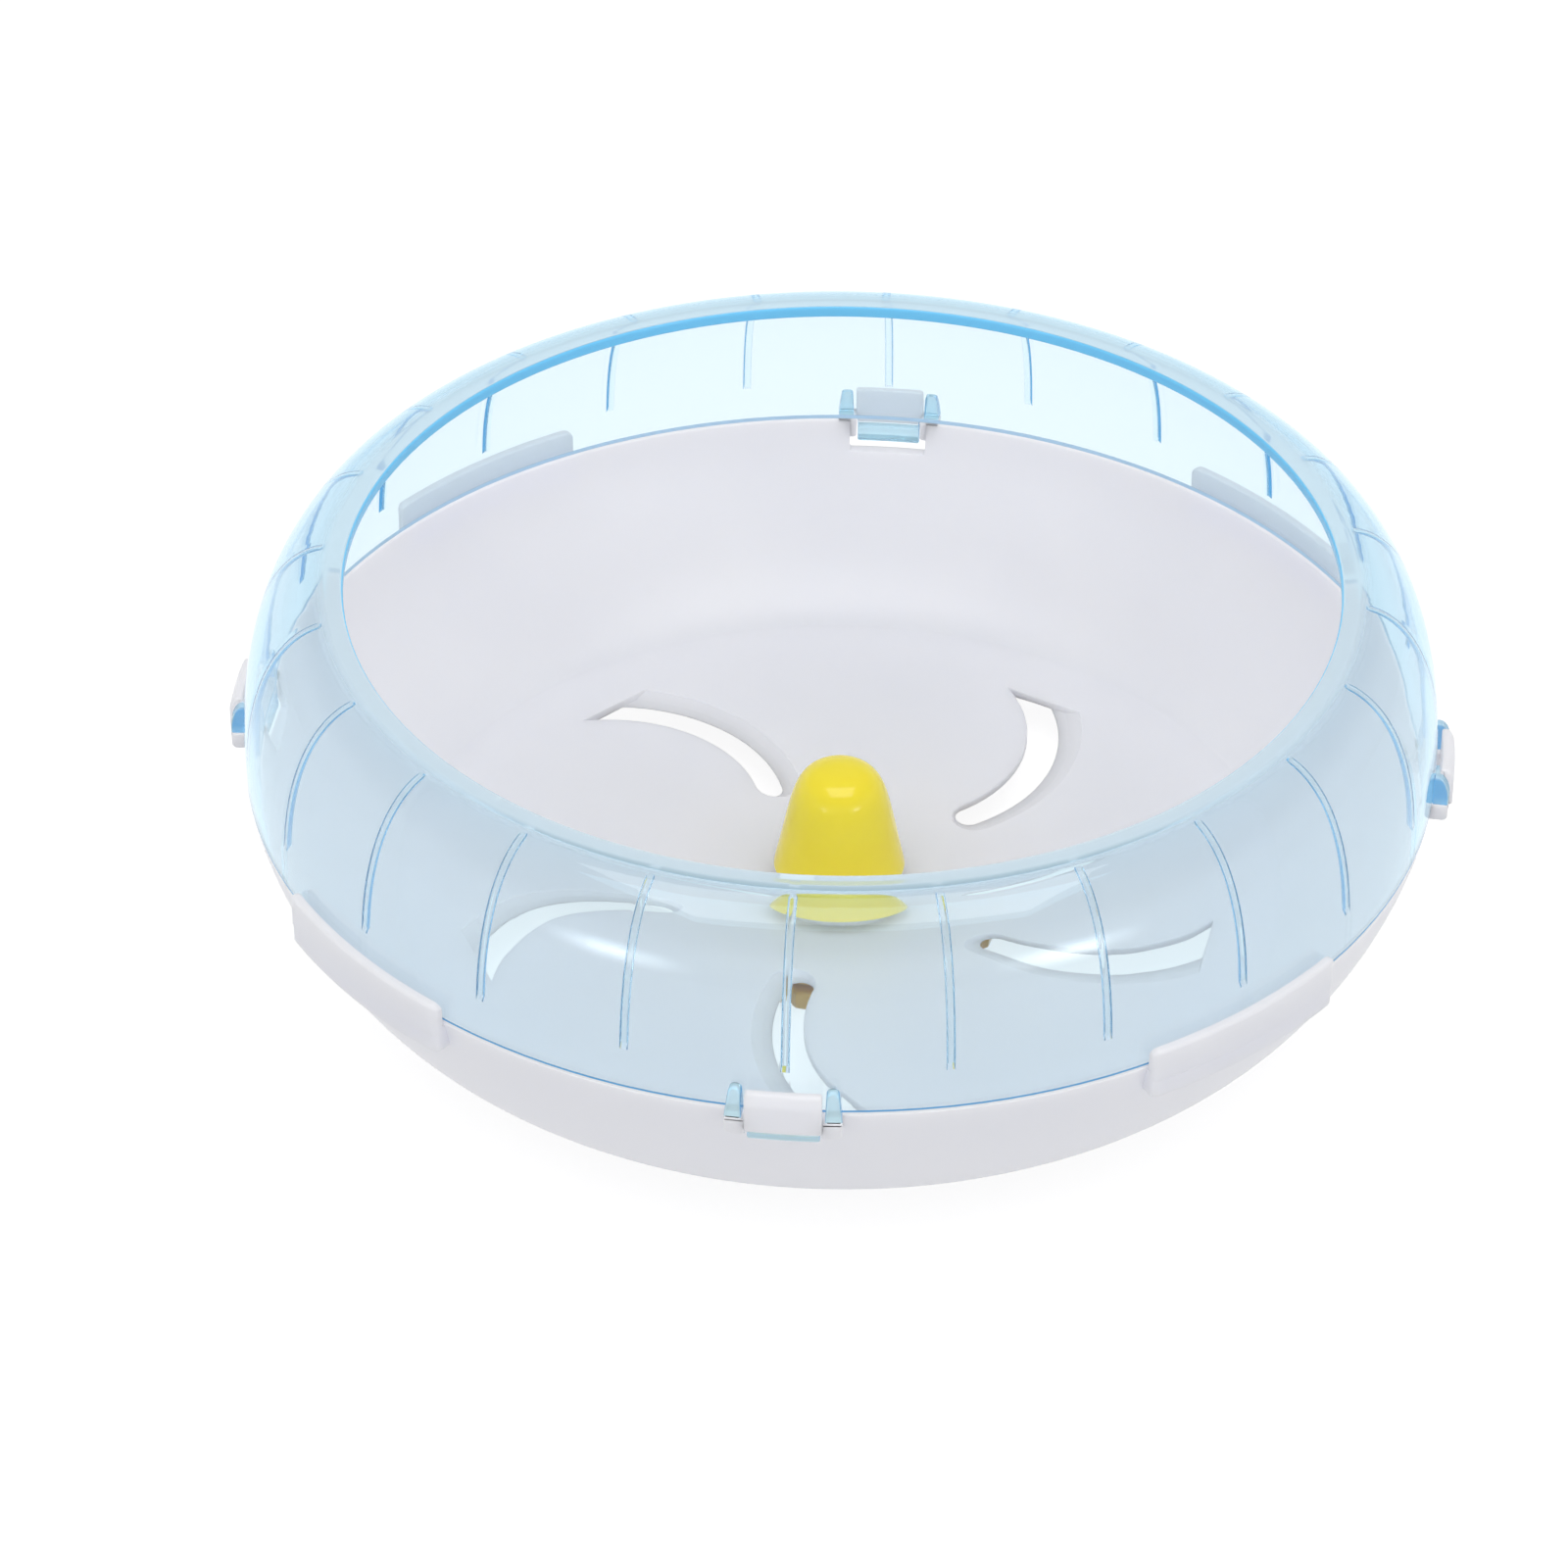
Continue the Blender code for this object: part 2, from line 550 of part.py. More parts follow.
def main():
    for old in list(bpy.data.objects):
        bpy.data.objects.remove(old)
    wheel = bpy.data.collections.new("hamster_wheel")
    helpers = bpy.data.collections.new("cutters")
    for collection in (wheel, helpers):
        bpy.context.scene.collection.children.link(collection)

    white = material("white_polypropylene", (0.86, 0.87, 0.89), 0.35)
    blue = material("clear_blue_polystyrene", (0.56, 0.82, 0.95), 0.08, transmission=0.9)
    yellow = material("yellow_polypropylene", (0.80, 0.66, 0.03), 0.32)
    steel = material("zinc_plated_steel", (0.60, 0.61, 0.62), 0.30, metallic=1.0)

    back_dish(wheel, helpers, white)
    running_ring(wheel, helpers, blue)
    hub_cap(wheel, yellow)
    rear_mount(wheel, yellow)
    washer("rear_washer", FLANGE_TOP + SEAT_GAP, BORE_RADIUS, REAR_WASHER_RADIUS, wheel, steel)
    washer("front_washer", POST_TOP + SEAT_GAP, SCREW_RADIUS + SEAT_GAP, FRONT_WASHER_RADIUS, wheel, steel)
    retaining_screw(wheel, steel)
    clamp_plate(wheel, helpers, yellow)
    clamp_bolt(wheel, helpers, yellow)
    for piece in wheel.objects:
        piece.modifiers.new("Even shading", "WEIGHTED_NORMAL")


main()
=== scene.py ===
"""Hamster exercise wheel: the looks. Metres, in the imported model's frame, +Z along the axle."""
import math

import bmesh
import bpy
import numpy as np
from mathutils import Matrix, Vector


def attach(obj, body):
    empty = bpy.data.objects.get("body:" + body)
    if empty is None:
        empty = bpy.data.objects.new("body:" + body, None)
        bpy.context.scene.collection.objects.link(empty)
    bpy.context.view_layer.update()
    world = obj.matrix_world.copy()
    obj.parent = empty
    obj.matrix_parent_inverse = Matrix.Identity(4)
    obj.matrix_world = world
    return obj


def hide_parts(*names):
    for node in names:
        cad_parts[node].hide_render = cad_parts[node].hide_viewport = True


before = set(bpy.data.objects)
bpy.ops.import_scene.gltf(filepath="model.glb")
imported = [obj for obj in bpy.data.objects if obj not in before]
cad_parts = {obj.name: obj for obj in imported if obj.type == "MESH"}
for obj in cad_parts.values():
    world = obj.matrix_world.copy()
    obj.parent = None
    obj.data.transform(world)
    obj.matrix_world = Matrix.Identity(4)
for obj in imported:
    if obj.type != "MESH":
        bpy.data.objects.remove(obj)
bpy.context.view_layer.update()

MM = 0.001

# Drum, in millimetres. Its lines are cubic curves with (radius, height) controls.
REACH = 85.0
RIM = 82.4
LINE_POINTS = 44
RING_LINE = ((70.0, 60.0), (75.49, 60.0), (83.26, 52.9), (82.4, 32.1))
RING_FINE_POINTS = 70
RING_WALL = 1.4
OPENING = 68.0
LIP_TOP = 59.8
LIP_UNDER = 57.9
LIP_EXTRA = 0.45
LIP_TAPER = 12.0
TREADS = 24
TREAD_WIDTH = 1.15
TREAD_STAND = 0.70
TREAD_LOSS = 0.6
TREAD_ENDS = ((71.2, 58.4), (81.1, 37.9))
TREAD_COLUMN_SHARES = (0.0, 0.35, 0.62, 0.80, 0.91, 0.97, 1.0, 1.06, 1.25)
GAP_COLUMNS = 6
DISH_LINE = ((82.4, 31.8), (79.3, 17.2), (69.99, 5.3), (61.0, 5.3))
DISH_COLUMNS = 360
DISH_WALL = 1.6
FLOOR_TOP = 7.0
FLOOR_BOTTOM = 5.3
RIM_TOP = 32.02
MOULD_LINE_RADIUS = 67.4
MOULD_LINE = ((-0.3, 0), (-0.08, 0.12), (0.08, 0.12), (0.3, 0))

# The dish's floor edge and its hub boss: (radius, height, corner radius)
BOSS = ((9.3, FLOOR_BOTTOM, 0.25), (9.3, 6.1, 0.1), (5.0, 6.1, 0.1), (5.0, 15.3, 0.3),
        (6.3, 15.3, 0.4), (6.3, FLOOR_TOP, 0.5), (62.6, FLOOR_TOP, 0.0))

# Clips and skirts: (radius, height, corner radius), and for the ears and lugs on both sides of a
# clip (distance from its middle, height, corner radius)
CLIPS = (0, 90, 180, 270)
CLIP_SIDES = [(azimuth, side) for azimuth in CLIPS for side in (-1, 1)]
TONGUE = ((81.2, 33.5, 0), (82.2, 33.5, 0), (82.2, 30.1, 0.2), (83.7, 30.1, 0.2), (83.8, 28.4, 0.4),
          (82.4, 28.0, 0.3), (81.2, 28.0, 0.3))
TONGUE_HALF_WIDTH = 4.8
WINDOW = ((76.0, 34.0, 0), (84.5, 34.0, 0), (84.5, 27.2, 0.5), (76.0, 27.2, 0.5))
WINDOW_HALF_WIDTH = 6.0
FLAP = ((83.2, 36.2, 0.3), (84.3, 36.2, 0.8), (85.0, 34.6, 1.8), (85.0, 30.4, 0.25), (83.2, 30.4, 0.15))
FLAP_HALF_WIDTH = 5.1
SKIRT_INNER = 82.75
SKIRT = ((SKIRT_INNER, 35.3, 0.35), (84.2, 35.3, 0.5), (84.2, 30.6, 0.1), (84.05, 30.4, 0.1),
         (84.05, 27.5, 0.5), (80.9, 27.5, 0), (81.5, 31.5, 0), (SKIRT_INNER, 31.5, 0))
SKIRT_HALF_WIDTH = 16.45
SKIRT_TURN = 45
EAR = ((5.45, 32.15, 0.12), (7.75, 32.15, 0.12), (7.25, 36.35, 0.75), (5.65, 36.35, 0.75))
EAR_ROOT = 81.9
LUG = ((5.0, 32.05, 0.1), (7.75, 32.05, 0.1), (7.75, 29.0, 1.5), (5.0, 29.0, 0.5))
LUG_ROOT = 80.8
FACE_EDGE = 0.3
FACE_SPACING = 0.5

# Swirl slots: radii and azimuths of their edges
SLOTS = 5
SLOT_RADII = (25.0, 39.25, 53.5)
SLOT_SHELF_RADII = (25.0, 39.35, 53.7)
SLOT_BEVEL_RADII = (25.0, 39.6, 54.2)
SLOT_LEADING = (114.4, 118.2, 131.4)
SLOT_TRAILING = (123.2, 125.2, 139.3)
SLOT_SHELF = (111.2, 115.9, 128.8)
SLOT_BEVEL = (108.4, 113.9, 126.6)
SLOT_BEVEL_DEPTH = 0.8
SLOT_EDGE = 0.22
SLOT_EDGE_POINTS = 22
SLOT_FLARE = 1.0
OVERRUN = 1.0

# Hub cap: its outer line, the rounding of its foot and the hollow that slips over the boss
CAP_LINE = ((0, 26.73), (7.1, 26.73), (6.3, 23.7), (9.2, 10.6))
CAP_FOOT = [(9.22, 10.47), (9.1, 10.4)]
CAP_HOLLOW = [(6.7, 10.4), (6.6, 10.5), (6.6, 19.5), (5.9, 22.6), (4.2, 24.6), (2.0, 25.4), (0, 25.5)]

# Rear pieces: (radius, height, corner radius), round each piece from its axis or bore, and the
# washers' names, undersides, holes and edges
MOUNT = ((0, 10.9, 0), (1.5, 10.9, 0), (1.5, 15.6, 0.2), (4.7, 15.6, 0.4), (4.7, 5.0, 0.3),
         (20.5, 5.0, 0.4), (20.5, 3.3, 0.4), (2.8, 3.3, 0.3), (2.8, 10.4, 0), (0, 10.4, 0))
WASHER_THICKNESS = 0.5
WASHERS = (("rear_washer", 5.3, 5.0, 9.0), ("front_washer", 15.9, 1.8, 5.5))
SCREW = ((0, 18.5, 0), (2.1, 18.5, 0.4), (3.0, 17.6, 0.3), (3.0, 16.7, 0.1), (1.4, 16.7, 0.1),
         (1.4, 12.6, 0.1), (0, 11.2, 0))
PLATE = ((2.8, 3.0, 0.2), (21.9, 3.0, 0.6), (21.9, 0.0, 0.6), (5.3, 0.0, 0.3), (5.3, 1.9, 0.1),
         (2.8, 1.9, 0.1))
GRIPS = 12
GRIP_CIRCLE = 23.4
GRIP_RADIUS = 2.2
GRIP_FLARE_RADIUS = 2.5
GRIP_POINTS = 40
BOLT_TIP = [(0, 10.1, 0), (2.2, 10.1, 0.2)]
BOLT_HEAD = [(2.4, 1.6, 0), (5.0, 1.6, 0.3), (5.0, 0.3, 0.35), (0, 0.3, 0)]
THREAD_TOP = 9.8
THREAD_END = 2.2
THREAD_PITCH = 0.9
THREAD_RADII_AND_DROPS = ((2.5, 0), (2.5, 0.3), (2.2, 0.5), (2.2, 0.7))
COIN_SLOT_HALF_WIDTH = 0.6
COIN_SLOT_FLARE_HALF_WIDTH = 0.75
COIN_SLOT_HALF_LENGTH = 6.0

# Typical of the plastics
POLYPROPYLENE_IOR = 1.49
POLYSTYRENE_IOR = 1.55


# Colours and nodes

def colour(code):
    """An sRGB hex colour as linear RGBA."""
    parts = [int(code[i:i + 2], 16) / 255 for i in (1, 3, 5)]
    return (*[p / 12.92 if p <= 0.04045 else ((p + 0.055) / 1.055) ** 2.4 for p in parts], 1.0)


def add_node(material, kind, settings=None, **links):
    """A node of that kind. Settings fill its fields or sockets, links join its inputs to other sockets."""
    node = material.node_tree.nodes.new(kind)
    for key, value in (settings or {}).items():
        if isinstance(key, int) or key in node.inputs:
            node.inputs[key].default_value = value
        else:
            setattr(node, key, value)
    for key, socket in links.items():
        name = int(key[1:]) if key[0] == "_" else key.replace("_", " ")
        material.node_tree.links.new(socket, node.inputs[name])
    return node


def new_material(name):
    made = bpy.data.materials.new(name)
    made.use_nodes = True
    made.node_tree.nodes.clear()
    return made


def scattered_specks(material, spacing_mm, size_mm, share):
    """A mask of small specks: scattered cells, of which only a share holds a speck."""
    place = add_node(material, "ShaderNodeTexCoord")
    cells = add_node(material, "ShaderNodeTexVoronoi", {"Scale": 1 / (spacing_mm * MM), "Randomness": 1.0},
                     Vector=place.outputs["Object"])
    near = add_node(material, "ShaderNodeMath", {"operation": "LESS_THAN", 1: size_mm / spacing_mm},
                    _0=cells.outputs["Distance"])
    split = add_node(material, "ShaderNodeSeparateColor", Color=cells.outputs["Color"])
    chosen = add_node(material, "ShaderNodeMath", {"operation": "LESS_THAN", 1: share},
                      _0=split.outputs["Red"])
    return add_node(material, "ShaderNodeMath", {"operation": "MULTIPLY"},
                    _0=near.outputs[0], _1=chosen.outputs[0]).outputs[0]


def white_moulded_polypropylene():
    """Injection-moulded polypropylene: milky white that lets a little light in, with a satin skin,
    faint flow waves from the mould and a few dust specks."""
    made = new_material("white_moulded_polypropylene")
    place = add_node(made, "ShaderNodeTexCoord")
    waves = add_node(made, "ShaderNodeTexNoise",
                     {"Scale": 1 / (24 * MM), "Detail": 3.0, "Roughness": 0.45},
                     Vector=place.outputs["Object"])
    tint = add_node(made, "ShaderNodeMix", {"data_type": "RGBA", 6: colour("#E6E8F2"), 7: colour("#EEEFF7")},
                    Factor=waves.outputs["Fac"])
    specks = scattered_specks(made, spacing_mm=9.0, size_mm=0.16, share=0.10)
    dotted = add_node(made, "ShaderNodeMix", {"data_type": "RGBA", 7: colour("#B9AFA6")},
                      Factor=specks, _6=tint.outputs[2])
    gloss = add_node(made, "ShaderNodeMapRange", {"To Min": 0.30, "To Max": 0.42},
                     Value=waves.outputs["Fac"])
    skin = add_node(made, "ShaderNodeTexNoise", {"Scale": 1 / (0.5 * MM), "Detail": 2.0},
                    Vector=place.outputs["Object"])
    bump = add_node(made, "ShaderNodeBump", {"Strength": 0.05, "Distance": 0.02 * MM},
                    Height=skin.outputs["Fac"])
    body = add_node(made, "ShaderNodeBsdfPrincipled",
                    {"IOR": POLYPROPYLENE_IOR, "Subsurface Weight": 0.8,
                     "Subsurface Radius": (1.0, 0.97, 0.94), "Subsurface Scale": 4.0 * MM},
                    Base_Color=dotted.outputs[2], Roughness=gloss.outputs[0], Normal=bump.outputs[0])
    add_node(made, "ShaderNodeOutputMaterial", Surface=body.outputs[0])
    return made


def clear_blue_polystyrene():
    """Transparent tinted polystyrene, polished in the mould: pale where the wall is crossed, sky
    blue where the eye looks along it, slightly wavy from the mould. Its edges gather the light of
    the whole wall, so the end of the lip, the foot and the sides of the treads show as saturated
    lines; these lines are painted on as painted light, and so are a pale band of light on the crown
    by the lip and a pale glow on the clips and ears. Light passes it on the way to what stands
    behind, and light that has turned often inside the wall leaves it."""
    made = new_material("clear_blue_polystyrene")
    place = add_node(made, "ShaderNodeTexCoord")
    side = add_node(made, "ShaderNodeNewGeometry")
    path = add_node(made, "ShaderNodeLightPath")

    def combined(operation, first, second):
        return add_node(made, "ShaderNodeMath", {"operation": operation}, _0=first, _1=second).outputs[0]

    def band(value, low, high, soft):
        """One between two heights or radii in millimetres, nothing beyond them."""
        rise = add_node(made, "ShaderNodeMapRange",
                        {"From Min": (low - soft) * MM, "From Max": low * MM}, Value=value)
        fall = add_node(made, "ShaderNodeMapRange",
                        {"From Min": high * MM, "From Max": (high + soft) * MM,
                         "To Min": 1.0, "To Max": 0.0}, Value=value)
        return combined("MULTIPLY", rise.outputs[0], fall.outputs[0])

    flow = add_node(made, "ShaderNodeTexNoise", {"Scale": 1 / (13 * MM), "Detail": 1.0},
                    Vector=place.outputs["Object"])
    bump = add_node(made, "ShaderNodeBump", {"Strength": 1.0, "Distance": 0.05 * MM},
                    Height=flow.outputs["Fac"])
    clear = add_node(made, "ShaderNodeBsdfPrincipled",
                     {"Base Color": colour("#FFFFFF"), "Roughness": 0.02, "IOR": POLYSTYRENE_IOR,
                      "Transmission Weight": 1.0}, Normal=bump.outputs[0])
    passing = add_node(made, "ShaderNodeBsdfTransparent", {"Color": colour("#FFFFFF")})

    split = add_node(made, "ShaderNodeSeparateXYZ", Vector=place.outputs["Object"])
    flat = add_node(made, "ShaderNodeVectorMath", {"operation": "MULTIPLY", 1: (1.0, 1.0, 0.0)},
                    _0=place.outputs["Object"])
    radius = add_node(made, "ShaderNodeVectorMath", {"operation": "LENGTH"},
                      _0=flat.outputs[0]).outputs["Value"]
    height = split.outputs["Z"]
    within = side.outputs["Backfacing"]
    outside = add_node(made, "ShaderNodeMath", {"operation": "SUBTRACT", 0: 1.0}, _1=within).outputs[0]

    # The lip's end: a painted glow, a bright band seen from the open side, invisible through the wall
    lip_end = band(radius, 60.0, 68.18, 0.12)
    lip_edge = band(radius, 60.0, 68.5, 0.08)
    # The foot: painted light lines, a blue line outside with a painted highlight under it, a paler
    # painted line inside
    foot = combined("MULTIPLY", band(radius, 80.7, 82.45, 0.05), band(height, 32.12, 32.68, 0.06))
    inner = add_node(made, "ShaderNodeMapRange", {"From Min": 81.3 * MM, "From Max": 81.7 * MM},
                     Value=radius)
    above = add_node(made, "ShaderNodeMapRange", {"From Min": 32.36 * MM, "From Max": 32.42 * MM},
                     Value=height)
    edge = add_node(made, "ShaderNodeMix",
                    {"data_type": "RGBA", 6: colour("#F6FAFF"), 7: colour("#4FA4E0")},
                    Factor=above.outputs[0])
    edge = add_node(made, "ShaderNodeMix", {"data_type": "RGBA", 6: colour("#B4D8F4")},
                    Factor=inner.outputs[0], _7=edge.outputs[2])
    # The sides of the treads, clips and ears, wherever the skin turns to face round the axis:
    # painted edge lines of light, a darker painted copy where they are seen from within the wall
    across = add_node(made, "ShaderNodeVectorMath", {"operation": "CROSS_PRODUCT"},
                      _0=flat.outputs[0], _1=place.outputs["Normal"])
    turning = add_node(made, "ShaderNodeSeparateXYZ", Vector=across.outputs[0])
    turned_by = add_node(made, "ShaderNodeMath", {"operation": "ABSOLUTE"}, _0=turning.outputs["Z"])
    painted_flank_lines = add_node(made, "ShaderNodeMapRange", {"From Min": 0.6, "From Max": 0.95},
                     Value=combined("DIVIDE", turned_by.outputs[0], radius))
    painted_flank_colour = add_node(made, "ShaderNodeMix", {"data_type": "RGBA", 6: colour("#55B4F5"),
                                                  7: colour("#4C8CBE")}, Factor=within)
    # The clips and ears: a pale painted glow over them, and lighter painted edge lines
    clip = band(radius, 82.6, 90.0, 0.1)
    painted_flank_colour = add_node(made, "ShaderNodeMix", {"data_type": "RGBA", 7: colour("#63B2EA")},
                          Factor=clip, _6=painted_flank_colour.outputs[2])

    # Each painted line or area: where it is, on which side of the skin, how much it hides the clear
    # plastic, its colour. A later one lies over the earlier ones. The first is a faint pale blue
    # layer over the whole outside; all the others are painted light.
    painted_areas = ((band(radius, 60.0, 82.5, 0.1), outside, 0.05, "#CFE8FA"),
             # A pale painted band of light on the crown by the lip
             (band(radius, 67.0, 70.4, 2.2), outside, 0.58, "#D8EBF6"),
             # A pale painted glow on the clips and ears
             (clip, None, 0.50, "#D8F6FF"),
             (painted_flank_lines.outputs[0], None, 0.65, painted_flank_colour.outputs[2]),
             (foot, outside, 0.95, edge.outputs[2]),
             (lip_end, outside, 1.0, "#70CEFF"))
    lines = glow = None
    for where, facing, share, shown in painted_areas:
        where = combined("MULTIPLY", where, facing) if facing else where
        mask = add_node(made, "ShaderNodeMath", {"operation": "MULTIPLY", 1: share}, _0=where).outputs[0]
        lines = combined("MAXIMUM", lines, mask) if lines else mask
        tinted = add_node(made, "ShaderNodeMix", {"data_type": "RGBA", 6: colour("#D9F0FA")}, Factor=where)
        if glow:
            made.node_tree.links.new(glow, tinted.inputs[6])
        if isinstance(shown, str):
            tinted.inputs[7].default_value = colour(shown)
        else:
            made.node_tree.links.new(shown, tinted.inputs[7])
        glow = tinted.outputs[2]
    # The painted light shows on this diffuse skin, laid over the clear plastic where the painted lines and
    # areas lie
    lit = add_node(made, "ShaderNodeBsdfPrincipled", {"Roughness": 0.2, "IOR": POLYSTYRENE_IOR},
                   Base_Color=glow)
    wall = add_node(made, "ShaderNodeMixShader", _0=lines, _1=clear.outputs[0], _2=lit.outputs[0])

    # What goes straight through: light for other pieces, the eye behind the lip's end, and light
    # that has turned often inside the wall
    lighting = combined("MAXIMUM", path.outputs["Is Shadow Ray"], path.outputs["Is Diffuse Ray"])
    straight = combined("MAXIMUM", lighting, combined("MULTIPLY", lip_edge, within))
    for counted, limit in (("Glossy Depth", 2.5), ("Ray Depth", 9.5)):
        turned_often = add_node(made, "ShaderNodeMath", {"operation": "GREATER_THAN", 1: limit},
                                _0=path.outputs[counted])
        straight = combined("MAXIMUM", straight, turned_often.outputs[0])
    mixed = add_node(made, "ShaderNodeMixShader", _0=straight, _1=wall.outputs[0], _2=passing.outputs[0])
    depth = add_node(made, "ShaderNodeVolumeAbsorption",
                     {"Color": (0.0, 0.65, 0.92, 1.0), "Density": 150.0})
    seen_depth = add_node(made, "ShaderNodeMixShader", _0=lighting, _1=depth.outputs[0])
    add_node(made, "ShaderNodeOutputMaterial", Surface=mixed.outputs[0], Volume=seen_depth.outputs[0])
    return made


def yellow_moulded_polypropylene(name, pale, deep):
    """Injection-moulded polypropylene, bright yellow through and through, with a smooth satin gloss."""
    made = new_material(name)
    place = add_node(made, "ShaderNodeTexCoord")
    cloud = add_node(made, "ShaderNodeTexNoise", {"Scale": 1 / (6 * MM), "Detail": 3.0},
                     Vector=place.outputs["Object"])
    tint = add_node(made, "ShaderNodeMix", {"data_type": "RGBA", 6: colour(deep), 7: colour(pale)},
                    Factor=cloud.outputs["Fac"])
    skin = add_node(made, "ShaderNodeTexNoise", {"Scale": 1 / (0.35 * MM), "Detail": 2.0},
                    Vector=place.outputs["Object"])
    bump = add_node(made, "ShaderNodeBump", {"Strength": 0.06, "Distance": 0.02 * MM},
                    Height=skin.outputs["Fac"])
    body = add_node(made, "ShaderNodeBsdfPrincipled",
                    {"Roughness": 0.13, "IOR": POLYPROPYLENE_IOR, "Subsurface Weight": 0.2,
                     "Subsurface Radius": (1.0, 0.8, 0.2), "Subsurface Scale": 2.0 * MM},
                    Base_Color=tint.outputs[2], Normal=bump.outputs[0])
    add_node(made, "ShaderNodeOutputMaterial", Surface=body.outputs[0])
    return made


def zinc_plated_steel():
    """Bright zinc plate on turned or stamped steel: pale metal with fine rings and a soft shine."""
    made = new_material("zinc_plated_steel")
    place = add_node(made, "ShaderNodeTexCoord")
    rings = add_node(made, "ShaderNodeTexWave",
                     {"wave_type": "RINGS", "rings_direction": "Z", "Scale": 1 / (1.2 * MM),
                      "Distortion": 1.0, "Detail": 2.0}, Vector=place.outputs["Object"])
    tint = add_node(made, "ShaderNodeMix", {"data_type": "RGBA", 6: colour("#BFC1C4"), 7: colour("#D2D3D4")},
                    Factor=rings.outputs["Fac"])
    bump = add_node(made, "ShaderNodeBump", {"Strength": 0.1, "Distance": 0.01 * MM},
                    Height=rings.outputs["Fac"])
    body = add_node(made, "ShaderNodeBsdfPrincipled", {"Metallic": 1.0, "Roughness": 0.28},
                    Base_Color=tint.outputs[2], Normal=bump.outputs[0])
    add_node(made, "ShaderNodeOutputMaterial", Surface=body.outputs[0])
    return made


# Outlines, in millimetres

def curve_points(controls, count):
    """Points along the cubic curve with four controls, from the first to the last."""
    t = np.linspace(0, 1, count)[:, None]
    p = np.array(controls, float)
    return (1 - t) ** 3 * p[0] + 3 * (1 - t) ** 2 * t * p[1] + 3 * (1 - t) * t * t * p[2] + t ** 3 * p[3]


def sideways(points, distance):
    """The open line moved to the right of the way it runs."""
    run = np.gradient(points, axis=0)
    run /= np.linalg.norm(run, axis=1)[:, None]
    return points + distance * np.stack([run[:, 1], -run[:, 0]], axis=1)


def rounded(points, segments=4):
    """A closed outline with its corners rounded, as far as their sides allow. A third value in a
    point is that corner's radius, and without it the corner stays sharp."""
    out = []
    count = len(points)
    for index in range(count):
        corner = np.array(points[index][:2], float)
        before = np.array(points[index - 1][:2], float) - corner
        after = np.array(points[(index + 1) % count][:2], float) - corner
        wanted = points[index][2] if len(points[index]) > 2 else 0.0
        la, lb = np.linalg.norm(before), np.linalg.norm(after)
        before, after = before / la, after / lb
        turn = math.acos(max(-1.0, min(1.0, float(before @ after))))
        if wanted <= 0 or turn > math.pi - 0.05:
            out.append(corner)
            continue
        reach = min(wanted / math.tan(turn / 2), 0.48 * la, 0.48 * lb)
        size = reach * math.tan(turn / 2)
        centre = corner + (before + after) / np.linalg.norm(before + after) * math.hypot(size, reach)
        start, end = corner + before * reach - centre, corner + after * reach - centre
        first, last = math.atan2(start[1], start[0]), math.atan2(end[1], end[0])
        sweep = math.remainder(last - first, math.tau)
        for step in range(segments + 1):
            angle = first + sweep * step / segments
            out.append(centre + size * np.array([math.cos(angle), math.sin(angle)]))
    return np.array(out)


def twice_area(points):
    """Above zero where the closed outline runs anticlockwise."""
    return np.sum(points[:, 0] * np.roll(points[:, 1], -1) - np.roll(points[:, 0], -1) * points[:, 1])


def grown(points, distance):
    """A closed outline with each point moved outwards along its normal."""
    points = np.array(points, float)
    ahead = np.roll(points, -1, axis=0) - points
    behind = points - np.roll(points, 1, axis=0)
    area = 0.5 * twice_area(points)
    normals = []
    for run in (behind, ahead):
        run = run / np.linalg.norm(run, axis=1)[:, None]
        normals.append(np.stack([run[:, 1], -run[:, 0]], axis=1) * math.copysign(1, area))
    middle = normals[0] + normals[1]
    scale = np.clip(np.sum(middle * middle, axis=1) / 2, 0.5, None)
    return points + distance * middle / scale[:, None]


# Meshes

def mesh_object(name, vertices, faces):
    mesh = bpy.data.meshes.new(name)
    mesh.from_pydata([tuple(v) for v in vertices], [], faces)
    bm = bmesh.new()
    bm.from_mesh(mesh)
    bmesh.ops.recalc_face_normals(bm, faces=bm.faces)
    bm.to_mesh(mesh)
    bm.free()
    made = bpy.data.objects.new(name, mesh)
    bpy.context.scene.collection.objects.link(made)
    return made


def shell(name, loops):
    """A ring-shaped skin: one closed loop of points for each column round the axis."""
    columns, points = loops.shape[:2]
    faces = []
    for i in range(columns):
        after = (i + 1) % columns
        for j in range(points):
            below = (j + 1) % points
            faces.append((i * points + j, i * points + below, after * points + below, after * points + j))
    return mesh_object(name, loops.reshape(-1, 3) * MM, faces)


def turned(name, profile, columns):
    """A turned piece from a profile whose ends may lie on the axis."""
    bm = bmesh.new()
    spots = [bm.verts.new((r * MM, 0, z * MM)) for r, z in profile]
    edges = [bm.edges.new(pair) for pair in zip(spots, spots[1:])]
    if profile[0][0] > 0:
        edges.append(bm.edges.new((spots[-1], spots[0])))
    bmesh.ops.spin(bm, geom=spots + edges, cent=(0, 0, 0), axis=(0, 0, 1), angle=math.tau, steps=columns)
    bmesh.ops.remove_doubles(bm, verts=bm.verts, dist=0.0005 * MM)
    bmesh.ops.recalc_face_normals(bm, faces=bm.faces)
    mesh = bpy.data.meshes.new(name)
    bm.to_mesh(mesh)
    bm.free()
    made = bpy.data.objects.new(name, mesh)
    bpy.context.scene.collection.objects.link(made)
    return made


